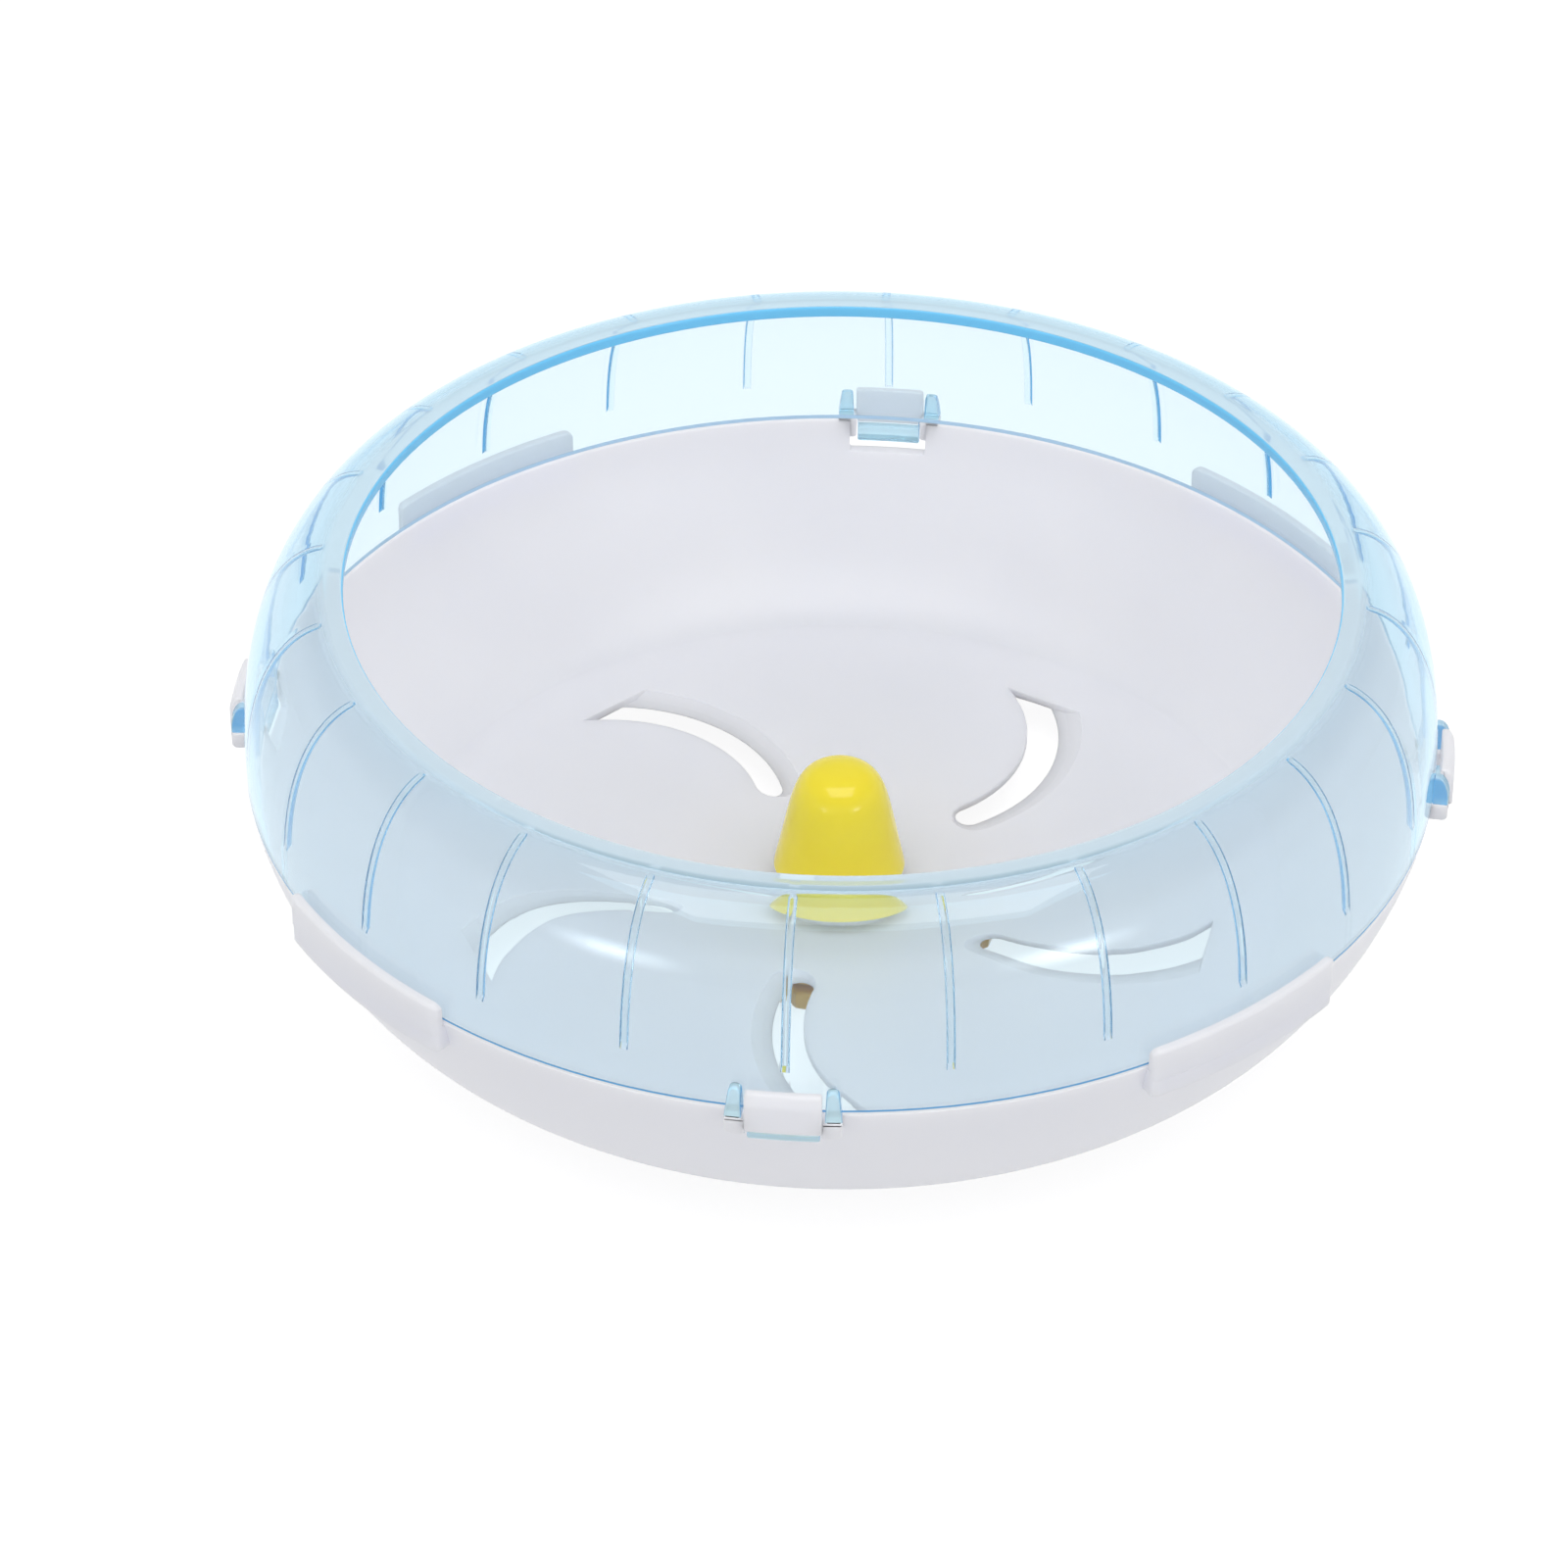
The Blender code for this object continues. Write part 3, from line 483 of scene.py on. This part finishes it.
def stacked(name, loops):
    """A closed solid lofted through loops of equal length, capped at both ends."""
    points = len(loops[0])
    faces = [list(range(points))[::-1]]
    for level in range(len(loops) - 1):
        for j in range(points):
            after = (j + 1) % points
            faces.append((level * points + j, level * points + after,
                          (level + 1) * points + after, (level + 1) * points + j))
    faces.append([(len(loops) - 1) * points + j for j in range(points)])
    return mesh_object(name, np.concatenate(loops) * MM, faces)


def level_loops(levels):
    """Flat outlines stood at their heights."""
    return [np.column_stack([outline, np.full(len(outline), z)]) for outline, z in levels]


def arc_block(name, outline, azimuth, half_width, edge, steps=1, soften=None):
    """A bar bent round the axis: the (radius, height) outline swept over its width, its ends rounded.
    soften(outline, share) may give the ends a shape of their own."""
    outline = np.array(outline, float)
    ends = [(half_width - edge * (1 - math.sin(a)), edge * (1 - math.cos(a)))
            for a in np.linspace(math.pi / 2, 0, 5)]
    middle = [(half_width - edge) * (1 - 2 * i / steps) for i in range(1, steps)]
    places = ends + [(u, 0.0) for u in middle] + [(-u, inset) for u, inset in ends[::-1]]
    loops = []
    for u, inset in places:
        section = outline
        if inset:
            section = soften(outline, inset / edge) if soften else grown(outline, -inset)
        angle = math.radians(azimuth) + u / REACH
        loops.append(np.stack([section[:, 0] * math.cos(angle), section[:, 0] * math.sin(angle),
                               section[:, 1]], axis=1))
    return stacked(name, loops)


def facing_block(name, half_outline, side, azimuth, inner, outer_at, edge=FACE_EDGE):
    """A lug that faces outwards: the outline on that side of a clip's middle, pushed out from the
    inner radius to outer_at(height), its front edges rounded."""
    outline = rounded([(side * away, height, corner) for away, height, corner in half_outline], 5)
    if twice_area(outline) < 0:
        outline = outline[::-1]
    outline = np.concatenate([a + (b - a) * np.arange(n)[:, None] / n
                              for a, b in zip(outline, np.roll(outline, -1, axis=0))
                              for n in [math.ceil(np.linalg.norm(b - a) / FACE_SPACING)]])
    steps = [(0.0, None, 0.0)] + [(edge * (1 - math.cos(a)), edge * (1 - math.sin(a)), 1.0)
                                  for a in np.linspace(0, math.pi / 2, 5)]
    loops = []
    for inset, back, share in steps:
        section = grown(outline, -inset) if inset else outline
        radii = np.array([outer_at(z) - back if share else inner for z in section[:, 1]])
        angle = math.radians(azimuth) + section[:, 0] / REACH
        loops.append(np.stack([radii * np.cos(angle), radii * np.sin(angle), section[:, 1]], axis=1))
    return stacked(name, loops)


def carve(piece, tools, operation):
    """Joins or cuts the tools, which are used up."""
    for tool in tools:
        change = piece.modifiers.new(tool.name, "BOOLEAN")
        change.operation = operation
        change.object = tool
        change.solver = "MANIFOLD"
    solid = piece.evaluated_get(bpy.context.evaluated_depsgraph_get())
    mesh = bpy.data.meshes.new_from_object(solid)
    piece.modifiers.clear()
    piece.data = mesh
    for tool in tools:
        bpy.data.objects.remove(tool)


def finish_piece(piece, body, material, nodes, angle=38):
    """Smooth shading with crisp edges, then body, slot, material and the nodes it stands for."""
    piece.data.materials.clear()
    piece.data.materials.append(material)
    piece.data.shade_smooth()
    piece.data.set_sharp_from_angle(angle=math.radians(angle))
    even = piece.modifiers.new("Even shading", "WEIGHTED_NORMAL")
    even.keep_sharp = True
    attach(piece, body)
    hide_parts(*nodes)


def tread_columns(width):
    """Distances from a tread's middle at which the skin has a column."""
    half = width / 2
    shares = TREAD_COLUMN_SHARES
    return [-s * half for s in shares[:0:-1]] + [s * half for s in shares]


def ridged_shell(name, profile, ridge_height, width, gap_columns):
    """A skin turned from a closed profile, with TREADS ridges raised on the points where
    ridge_height(distance from the ridge's middle) says so."""
    profile = np.array(profile, float)
    near = tread_columns(width)
    radii = profile[:, 0]
    loops = []
    for sector in range(TREADS):
        middle = math.tau * sector / TREADS
        for u in near:
            angles = middle + u / radii
            raised = profile + ridge_height(u)
            loops.append(np.stack([raised[:, 0] * np.cos(angles), raised[:, 0] * np.sin(angles),
                                   raised[:, 1]], axis=1))
        first = middle + near[-1] / radii
        last = middle + math.tau / TREADS + near[0] / radii
        for index in range(1, gap_columns):
            angles = first + (last - first) * index / gap_columns
            loops.append(np.stack([radii * np.cos(angles), radii * np.sin(angles), profile[:, 1]], axis=1))
    return shell(name, np.array(loops))


def skirt_end(outline, share):
    """Towards its ends a skirt thins, and its top and bottom edges draw in."""
    thinning, top_draw, bottom_draw = 0.7, 0.9, 0.4
    top_from, top_span, bottom_from, bottom_span = 31.8, 3.5, 30.0, 2.5
    radii, heights = outline[:, 0], outline[:, 1]
    thinner = np.where(radii > SKIRT_INNER,
                       SKIRT_INNER + (radii - SKIRT_INNER) * (1 - thinning * share), radii)
    lower = np.clip((heights - top_from) / top_span, 0, 1) * top_draw * share
    higher = np.clip((bottom_from - heights) / bottom_span, 0, 1) * bottom_draw * share
    return np.stack([thinner, heights - lower + higher], axis=1)


def ear_face(height):
    """How far out an ear stands: full at its foot, rounding back into the wall at its top."""
    bend_from, bend_span, wall, stand = 33.1, 3.35, 82.5, 2.1
    rise = max(0.0, height - bend_from) / bend_span
    return wall + stand * math.sqrt(max(0.0, 1 - rise ** 2))


def lug_face(height):
    """How far out a lug stands: its lower edge is well rounded."""
    face, bend, bend_from = 84.6, 1.3, 30.3
    return face - bend + math.sqrt(bend ** 2 - min(bend, max(0.0, bend_from - height)) ** 2)


# The pieces

def running_ring(material):
    """The clear ring: wall and lip turned from one profile, treads raised inside, clips added."""
    outer = curve_points(RING_LINE, LINE_POINTS)
    dense = curve_points(RING_LINE, RING_FINE_POINTS)
    run = np.gradient(dense, axis=0)
    distance = np.concatenate([[0], np.cumsum(np.linalg.norm(run[1:], axis=1))])
    wall = RING_WALL + LIP_EXTRA * np.clip(1 - distance / LIP_TAPER, 0, 1) ** 2
    inner = sideways(dense, wall[:, None])
    foot = (inner[-1][0], RING_LINE[3][1])
    lip = rounded([tuple(inner[1]), (OPENING, LIP_UNDER, 0.45), (OPENING, LIP_TOP, 0.5),
                   tuple(outer[1])])
    profile = np.concatenate([outer[1:], [foot], inner[-2:0:-1], lip[1:-1]])
    first_inner = len(outer)
    count_inner = len(inner) - 2
    line = inner[-2:0:-1]
    along = np.concatenate([[0], np.cumsum(np.linalg.norm(np.diff(line, axis=0), axis=1))])
    ends = [along[np.argmin(np.linalg.norm(line - np.array(end), axis=1))] for end in TREAD_ENDS]
    high, low = max(ends), min(ends)
    run = np.gradient(line, axis=0)
    run /= np.linalg.norm(run, axis=1)[:, None]
    inward = np.stack([-run[:, 1], run[:, 0]], axis=1)
    half = TREAD_WIDTH / 2
    stand = 1 - TREAD_LOSS * np.clip((along - low) / (high - low), 0, 1) ** 1.5

    def ridge(u):
        past = np.maximum(np.maximum(low + half - along, along - (high - half)), 0)
        distance = np.hypot(u, past) / half
        height = TREAD_STAND * stand * np.sqrt(np.clip(1 - distance ** 4, 0, None))
        raised = np.zeros_like(profile)
        raised[first_inner:first_inner + count_inner] = inward * height[:, None]
        return raised

    made = ridged_shell("running_ring_clear", profile, ridge, TREAD_WIDTH, GAP_COLUMNS)
    tongue = rounded(TONGUE)
    tools = [arc_block("tongue", tongue, azimuth, TONGUE_HALF_WIDTH, 0.25, 6) for azimuth in CLIPS]
    tools += [facing_block("ear", EAR, side, azimuth, EAR_ROOT, ear_face) for azimuth, side in CLIP_SIDES]
    carve(made, tools, "UNION")
    finish_piece(made, "drum", material, ["running_ring"])


def slot_arc(radii, azimuths, count=SLOT_EDGE_POINTS):
    """The arc through three points, given by radius and azimuth."""
    plan = [(r * math.cos(math.radians(a)), r * math.sin(math.radians(a)))
            for r, a in zip(radii, azimuths)]
    (ax, ay), (bx, by), (cx, cy) = plan
    area = 2 * (ax * (by - cy) + bx * (cy - ay) + cx * (ay - by))
    sq = [x * x + y * y for x, y in plan]
    ox = (sq[0] * (by - cy) + sq[1] * (cy - ay) + sq[2] * (ay - by)) / area
    oy = (sq[0] * (cx - bx) + sq[1] * (ax - cx) + sq[2] * (bx - ax)) / area
    radius = math.hypot(ax - ox, ay - oy)
    first = math.atan2(ay - oy, ax - ox)
    sweep = math.remainder(math.atan2(cy - oy, cx - ox) - first, math.tau)
    return [(ox + radius * math.cos(first + sweep * i / (count - 1)),
             oy + radius * math.sin(first + sweep * i / (count - 1))) for i in range(count)]


def slot_outline(trailing, leading, nose_points=7):
    """A closed outline of two long edges, with a half-round nose at the inner end."""
    first, last = np.array(trailing[0]), np.array(leading[0])
    middle, arm = (first + last) / 2, (first - last) / 2
    nose = []
    for index in range(nose_points):
        turn = math.pi * (index + 1) / (nose_points + 1)
        nose.append(middle + np.array([arm[0] * math.cos(turn) - arm[1] * math.sin(turn),
                                       arm[1] * math.cos(turn) + arm[0] * math.sin(turn)]))
    return np.array(trailing + leading[::-1] + [tuple(p) for p in nose[::-1]])


def slot_cutters():
    """Swirl cutters: a hole flared underneath, a shelf along its leading side, and a rounded edge
    where the recess meets the floor."""
    trailing = slot_arc(SLOT_RADII, SLOT_TRAILING)
    hole = slot_outline(trailing, slot_arc(SLOT_RADII, SLOT_LEADING))
    shelf = slot_outline(trailing, slot_arc(SLOT_SHELF_RADII, SLOT_SHELF))
    mouth = slot_outline(trailing, slot_arc(SLOT_BEVEL_RADII, SLOT_BEVEL))
    wide_mouth, flare = grown(mouth, SLOT_EDGE), grown(hole, SLOT_FLARE)
    step = FLOOR_TOP - SLOT_BEVEL_DEPTH
    rounding = [(SLOT_EDGE * (1 - math.cos(a)), SLOT_EDGE * math.sin(a))
                for a in np.linspace(0, math.pi / 2, 4)]
    levels = [(flare, FLOOR_BOTTOM - OVERRUN), (flare, FLOOR_BOTTOM),
              (grown(hole, 0.06), step - 0.33), (hole, step - 0.24),
              (hole + (shelf - hole) * 0.06, step - 0.12), (shelf + (hole - shelf) * 0.15, step),
              (shelf, step + 0.05), (shelf + (mouth - shelf) * 0.25, step + 0.2)]
    levels += [(mouth + (wide_mouth - mouth) * (spread / SLOT_EDGE), FLOOR_TOP - SLOT_EDGE + rise)
               for spread, rise in rounding]
    levels += [(wide_mouth, FLOOR_TOP + OVERRUN)]
    tools = []
    for index in range(SLOTS):
        angle = math.tau * index / SLOTS
        turn = np.array([[math.cos(angle), math.sin(angle)], [-math.sin(angle), math.cos(angle)]])
        tools.append(stacked("slot", level_loops([(outline @ turn, z) for outline, z in levels])))
    return tools


def with_mould_line(outer):
    """The dish's outer line with the fine ridge left where the mould's halves met."""
    start = int(np.argmin(np.abs(outer[:, 0] - MOULD_LINE_RADIUS)))
    run = outer[start + 1] - outer[start]
    along = run / np.linalg.norm(run)
    outward = np.array([-along[1], along[0]])
    outward *= math.copysign(1, outward @ (outer[start] - np.array([0.0, 30.0])))
    ridge = [outer[start] + along * a + outward * b for a, b in MOULD_LINE]
    return np.concatenate([outer[:start], ridge, outer[start + 1:]])


def back_dish(material):
    """The white dish: turned wall, floor and boss, then windows and slots cut, and skirts, lugs and
    flaps added."""
    outer = curve_points(DISH_LINE, LINE_POINTS)
    inner = sideways(outer, DISH_WALL)
    outer = with_mould_line(outer)
    rising = [tuple(p) for p in inner[::-1] if p[1] > FLOOR_TOP + 0.05][:-1]
    rim = ((80.8, RIM_TOP, 0.5), (RIM, RIM_TOP, 0.3))
    profile = rounded([(*p, 0.0) for p in outer[2:]] + [*BOSS] + [(*p, 0.0) for p in rising] + [*rim])
    angles = np.arange(DISH_COLUMNS) * math.tau / DISH_COLUMNS
    loops = np.array([np.stack([profile[:, 0] * math.cos(a), profile[:, 0] * math.sin(a), profile[:, 1]],
                               axis=1) for a in angles])
    made = shell("back_dish_white", loops)
    window, skirt, flap = (rounded(outline) for outline in (WINDOW, SKIRT, FLAP))
    cuts = [arc_block("window", window, azimuth, WINDOW_HALF_WIDTH, 0.35, 6) for azimuth in CLIPS]
    carve(made, cuts + slot_cutters(), "DIFFERENCE")
    joins = [arc_block("skirt", skirt, azimuth + SKIRT_TURN, SKIRT_HALF_WIDTH, 1.3, 18, skirt_end)
             for azimuth in CLIPS]
    joins += [facing_block("lug", LUG, side, azimuth, LUG_ROOT, lug_face) for azimuth, side in CLIP_SIDES]
    joins += [arc_block("flap", flap, azimuth, FLAP_HALF_WIDTH, 0.4, 8) for azimuth in CLIPS]
    carve(made, joins, "UNION")
    finish_piece(made, "drum", material, ["back_dish"])


def hub_cap(material):
    """The bullet-shaped cap over the boss."""
    outer = [tuple(p) for p in curve_points(CAP_LINE, LINE_POINTS)]
    made = turned("hub_cap_yellow", outer + CAP_FOOT + CAP_HOLLOW, 128)
    finish_piece(made, "drum", material, ["hub_cap"])


def turned_piece(name, points, columns, body, material, node, cuts=()):
    """A piece turned from (radius, height, corner radius) points, then cut."""
    profile = [(max(0.0, p[0]), p[1]) for p in rounded(points)]
    made = turned(name, profile, columns)
    if cuts:
        carve(made, cuts, "DIFFERENCE")
    finish_piece(made, body, material, [node])


def rear_pieces(yellow, steel):
    """The flange with its hollow post, the two washers and the screw that holds the drum on."""
    turned_piece("rear_mount_yellow", MOUNT, 160, "mount", yellow, "rear_mount")
    for name, low, hole, edge in WASHERS:
        high = low + WASHER_THICKNESS
        turned_piece(name + "_steel", [(edge, high, 0.12), (edge, low, 0.12), (hole, low, 0.1),
                                       (hole, high, 0.1)], 96, "mount", steel, name)
    turned_piece("retaining_screw_steel", SCREW, 64, "mount", steel, "retaining_screw")


def clamp_pieces(yellow):
    """The plate behind the flange, with finger scallops, and its coin-slotted screw."""
    scallops = []
    for index in range(GRIPS):
        around = math.tau * (index + 0.5) / GRIPS
        ring, flare = (np.array([(GRIP_CIRCLE * math.cos(around) + radius * math.cos(a),
                                  GRIP_CIRCLE * math.sin(around) + radius * math.sin(a))
                                 for a in np.linspace(0, math.tau, GRIP_POINTS, endpoint=False)])
                       for radius in (GRIP_RADIUS, GRIP_FLARE_RADIUS))
        levels = ((flare, -0.5), (flare, 0.0), (ring, 0.3), (ring, 2.7), (flare, 3.0), (flare, 3.5))
        scallops.append(stacked("scallop", level_loops(levels)))
    turned_piece("clamp_plate_yellow", PLATE, 180, "clamp", yellow, "clamp_plate",
                 scallops)
    thread = []
    height = THREAD_TOP
    while height > THREAD_END:
        thread += [(radius, height - drop, 0) for radius, drop in THREAD_RADII_AND_DROPS]
        height -= THREAD_PITCH
    long = COIN_SLOT_HALF_LENGTH
    coin, flare = (np.array([(-long, -half), (-long, half), (long, half), (long, -half)])
                   for half in (COIN_SLOT_HALF_WIDTH, COIN_SLOT_FLARE_HALF_WIDTH))
    slot = stacked("coin_slot", level_loops(((flare, -0.5), (flare, 0.3), (coin, 0.45), (coin, 0.9))))
    turned_piece("clamp_bolt_yellow", BOLT_TIP + thread + BOLT_HEAD, 96, "clamp",
                 yellow, "clamp_bolt", [slot])


# Build

white = white_moulded_polypropylene()
blue = clear_blue_polystyrene()
yellow = yellow_moulded_polypropylene("yellow_moulded_polypropylene", "#FBE73C", "#F5DF30")
gold = yellow_moulded_polypropylene("golden_yellow_moulded_polypropylene", "#FFCB3C", "#FBC032")
steel = zinc_plated_steel()

running_ring(blue)
back_dish(white)
hub_cap(yellow)
rear_pieces(gold, steel)
clamp_pieces(gold)

# Floor: a white sheet that reads as plain white and keeps the wheel's soft shadow

FLOOR_RADIUS = 6.0
FLOOR_DROP = 0.0002
FLOOR_GLOW = 0.88
floor_finish = new_material("white_paper_sweep")
path = add_node(floor_finish, "ShaderNodeLightPath")
seen = add_node(floor_finish, "ShaderNodeMath", {"operation": "MAXIMUM"},
                _0=path.outputs["Is Camera Ray"], _1=path.outputs["Is Transmission Ray"])
seen = add_node(floor_finish, "ShaderNodeMath", {"operation": "MAXIMUM"},
                _0=seen.outputs[0], _1=path.outputs["Is Glossy Ray"])
lift = add_node(floor_finish, "ShaderNodeMath", {"operation": "MULTIPLY", 1: FLOOR_GLOW},
                _0=seen.outputs[0])
glow = add_node(floor_finish, "ShaderNodeEmission", {"Color": colour("#FFFFFF")}, Strength=lift.outputs[0])
tone = add_node(floor_finish, "ShaderNodeMix",
                {"data_type": "RGBA", 6: colour("#DBDBDB"), 7: colour("#8C8C8C")},
                Factor=seen.outputs[0])
sheet = add_node(floor_finish, "ShaderNodeBsdfDiffuse", Color=tone.outputs[2])
both = add_node(floor_finish, "ShaderNodeAddShader", _0=sheet.outputs[0], _1=glow.outputs[0])
# From under the sheet the eye looks through it, so the side that faces the cage shows
under = add_node(floor_finish, "ShaderNodeNewGeometry")
below = add_node(floor_finish, "ShaderNodeMath", {"operation": "MULTIPLY"},
                 _0=under.outputs["Backfacing"], _1=path.outputs["Is Camera Ray"])
through = add_node(floor_finish, "ShaderNodeBsdfTransparent", {"Color": colour("#FFFFFF")})
sweep = add_node(floor_finish, "ShaderNodeMixShader", _0=below.outputs[0], _1=both.outputs[0],
                 _2=through.outputs[0])
add_node(floor_finish, "ShaderNodeOutputMaterial", Surface=sweep.outputs[0])
bpy.ops.mesh.primitive_circle_add(vertices=96, radius=FLOOR_RADIUS, fill_type="NGON",
                                  location=(0, 0, -FLOOR_DROP))
floor = bpy.context.object
floor.name = "floor"
floor.data.materials.append(floor_finish)

# Light: an even white surround with three soft boxes

SURROUND = 0.60
BOX_DISTANCE = 1.1
world = bpy.data.worlds.new("studio")
bpy.context.scene.world = world
world.use_nodes = True
world.node_tree.nodes.clear()
path = add_node(world, "ShaderNodeLightPath")
mirrored = add_node(world, "ShaderNodeMath", {"operation": "MAXIMUM"},
                    _0=path.outputs["Is Glossy Ray"], _1=path.outputs["Is Transmission Ray"])
way = add_node(world, "ShaderNodeTexCoord")
up = add_node(world, "ShaderNodeSeparateXYZ", Vector=way.outputs["Generated"])
ceiling = add_node(world, "ShaderNodeMapRange", {"From Min": 0.25, "From Max": 0.55,
                   "To Min": 1.0, "To Max": 0.5}, Value=up.outputs["Z"])
around = add_node(world, "ShaderNodeMix", {"data_type": "FLOAT", "A": SURROUND},
                  Factor=mirrored.outputs[0], B=ceiling.outputs[0])
shone = add_node(world, "ShaderNodeMath", {"operation": "MAXIMUM"}, _0=around.outputs[0],
                 _1=path.outputs["Is Camera Ray"])
surround = add_node(world, "ShaderNodeBackground", {"Color": colour("#FFFFFF")},
                    Strength=shone.outputs[0])
add_node(world, "ShaderNodeOutputWorld", Surface=surround.outputs[0])


def direction(azimuth, elevation):
    """From the wheel, with azimuth 0 at the front, in degrees."""
    around, up = math.radians(azimuth), math.radians(elevation)
    return Vector((math.sin(around) * math.cos(up), -math.cos(around) * math.cos(up), math.sin(up)))


def soft_box(name, azimuth, elevation, width, height, power, fading=True):
    """A lamp behind cloth that faces the wheel, brightest in its middle and fading towards its
    edges unless it is even. Width and height in metres."""
    lamp = bpy.data.lights.new(name, "AREA")
    lamp.shape = "RECTANGLE"
    lamp.size, lamp.size_y = width, height
    lamp.energy = power
    if fading:
        lamp.use_nodes = True
        lamp.node_tree.nodes.clear()
        spot = add_node(lamp, "ShaderNodeNewGeometry")
        centred = add_node(lamp, "ShaderNodeMapping",
                           {"Location": (-1.0, -1.0, 0), "Scale": (2.0, 2.0, 0)},
                           Vector=spot.outputs["Parametric"])
        fall = add_node(lamp, "ShaderNodeTexGradient", {"gradient_type": "SPHERICAL"},
                        Vector=centred.outputs[0])
        faded = add_node(lamp, "ShaderNodeMath", {"operation": "POWER", 1: 2.0},
                         _0=fall.outputs["Fac"])
        cloth = add_node(lamp, "ShaderNodeEmission", {"Color": colour("#FFFFFF")},
                         Strength=faded.outputs[0])
        add_node(lamp, "ShaderNodeOutputLight", Surface=cloth.outputs[0])
    towards = direction(azimuth, elevation)
    made = bpy.data.objects.new(name, lamp)
    made.location = towards * BOX_DISTANCE
    made.rotation_euler = towards.to_track_quat("Z", "Y").to_euler()
    bpy.context.scene.collection.objects.link(made)


soft_box("soft_box_left", -34, 9, 0.64, 0.32, 4.2)
soft_box("soft_box_right", 45, 11, 0.64, 0.32, 4.9)
soft_box("soft_box_above", 10, 76, 1.0, 0.8, 5.1, fading=False)

# Camera: the photograph's place, lens and framing for a 1600 by 1600 picture

CAMERA_TARGET = Vector((0, 0, 0.024))
CAMERA_DISTANCE = 0.87948
CAMERA_AZIMUTH = 4.656
CAMERA_ELEVATION = 36.405
CAMERA_ROLL = 0.67
CAMERA_LENS = 144.54
CAMERA_SHIFT = -0.0358
CAMERA_SENSOR = 36
lens = bpy.data.cameras.new("camera")
lens.sensor_width = CAMERA_SENSOR
lens.lens = CAMERA_LENS
lens.shift_x = CAMERA_SHIFT
camera = bpy.data.objects.new("camera", lens)
away = direction(CAMERA_AZIMUTH, CAMERA_ELEVATION)
camera.location = CAMERA_TARGET + away * CAMERA_DISTANCE
camera.rotation_euler = (away.to_track_quat("Z", "Y").to_matrix()
                         @ Matrix.Rotation(math.radians(CAMERA_ROLL), 3, "Z")).to_euler()
bpy.context.scene.collection.objects.link(camera)
bpy.context.scene.camera = camera
bpy.context.scene.view_settings.view_transform = "Standard"
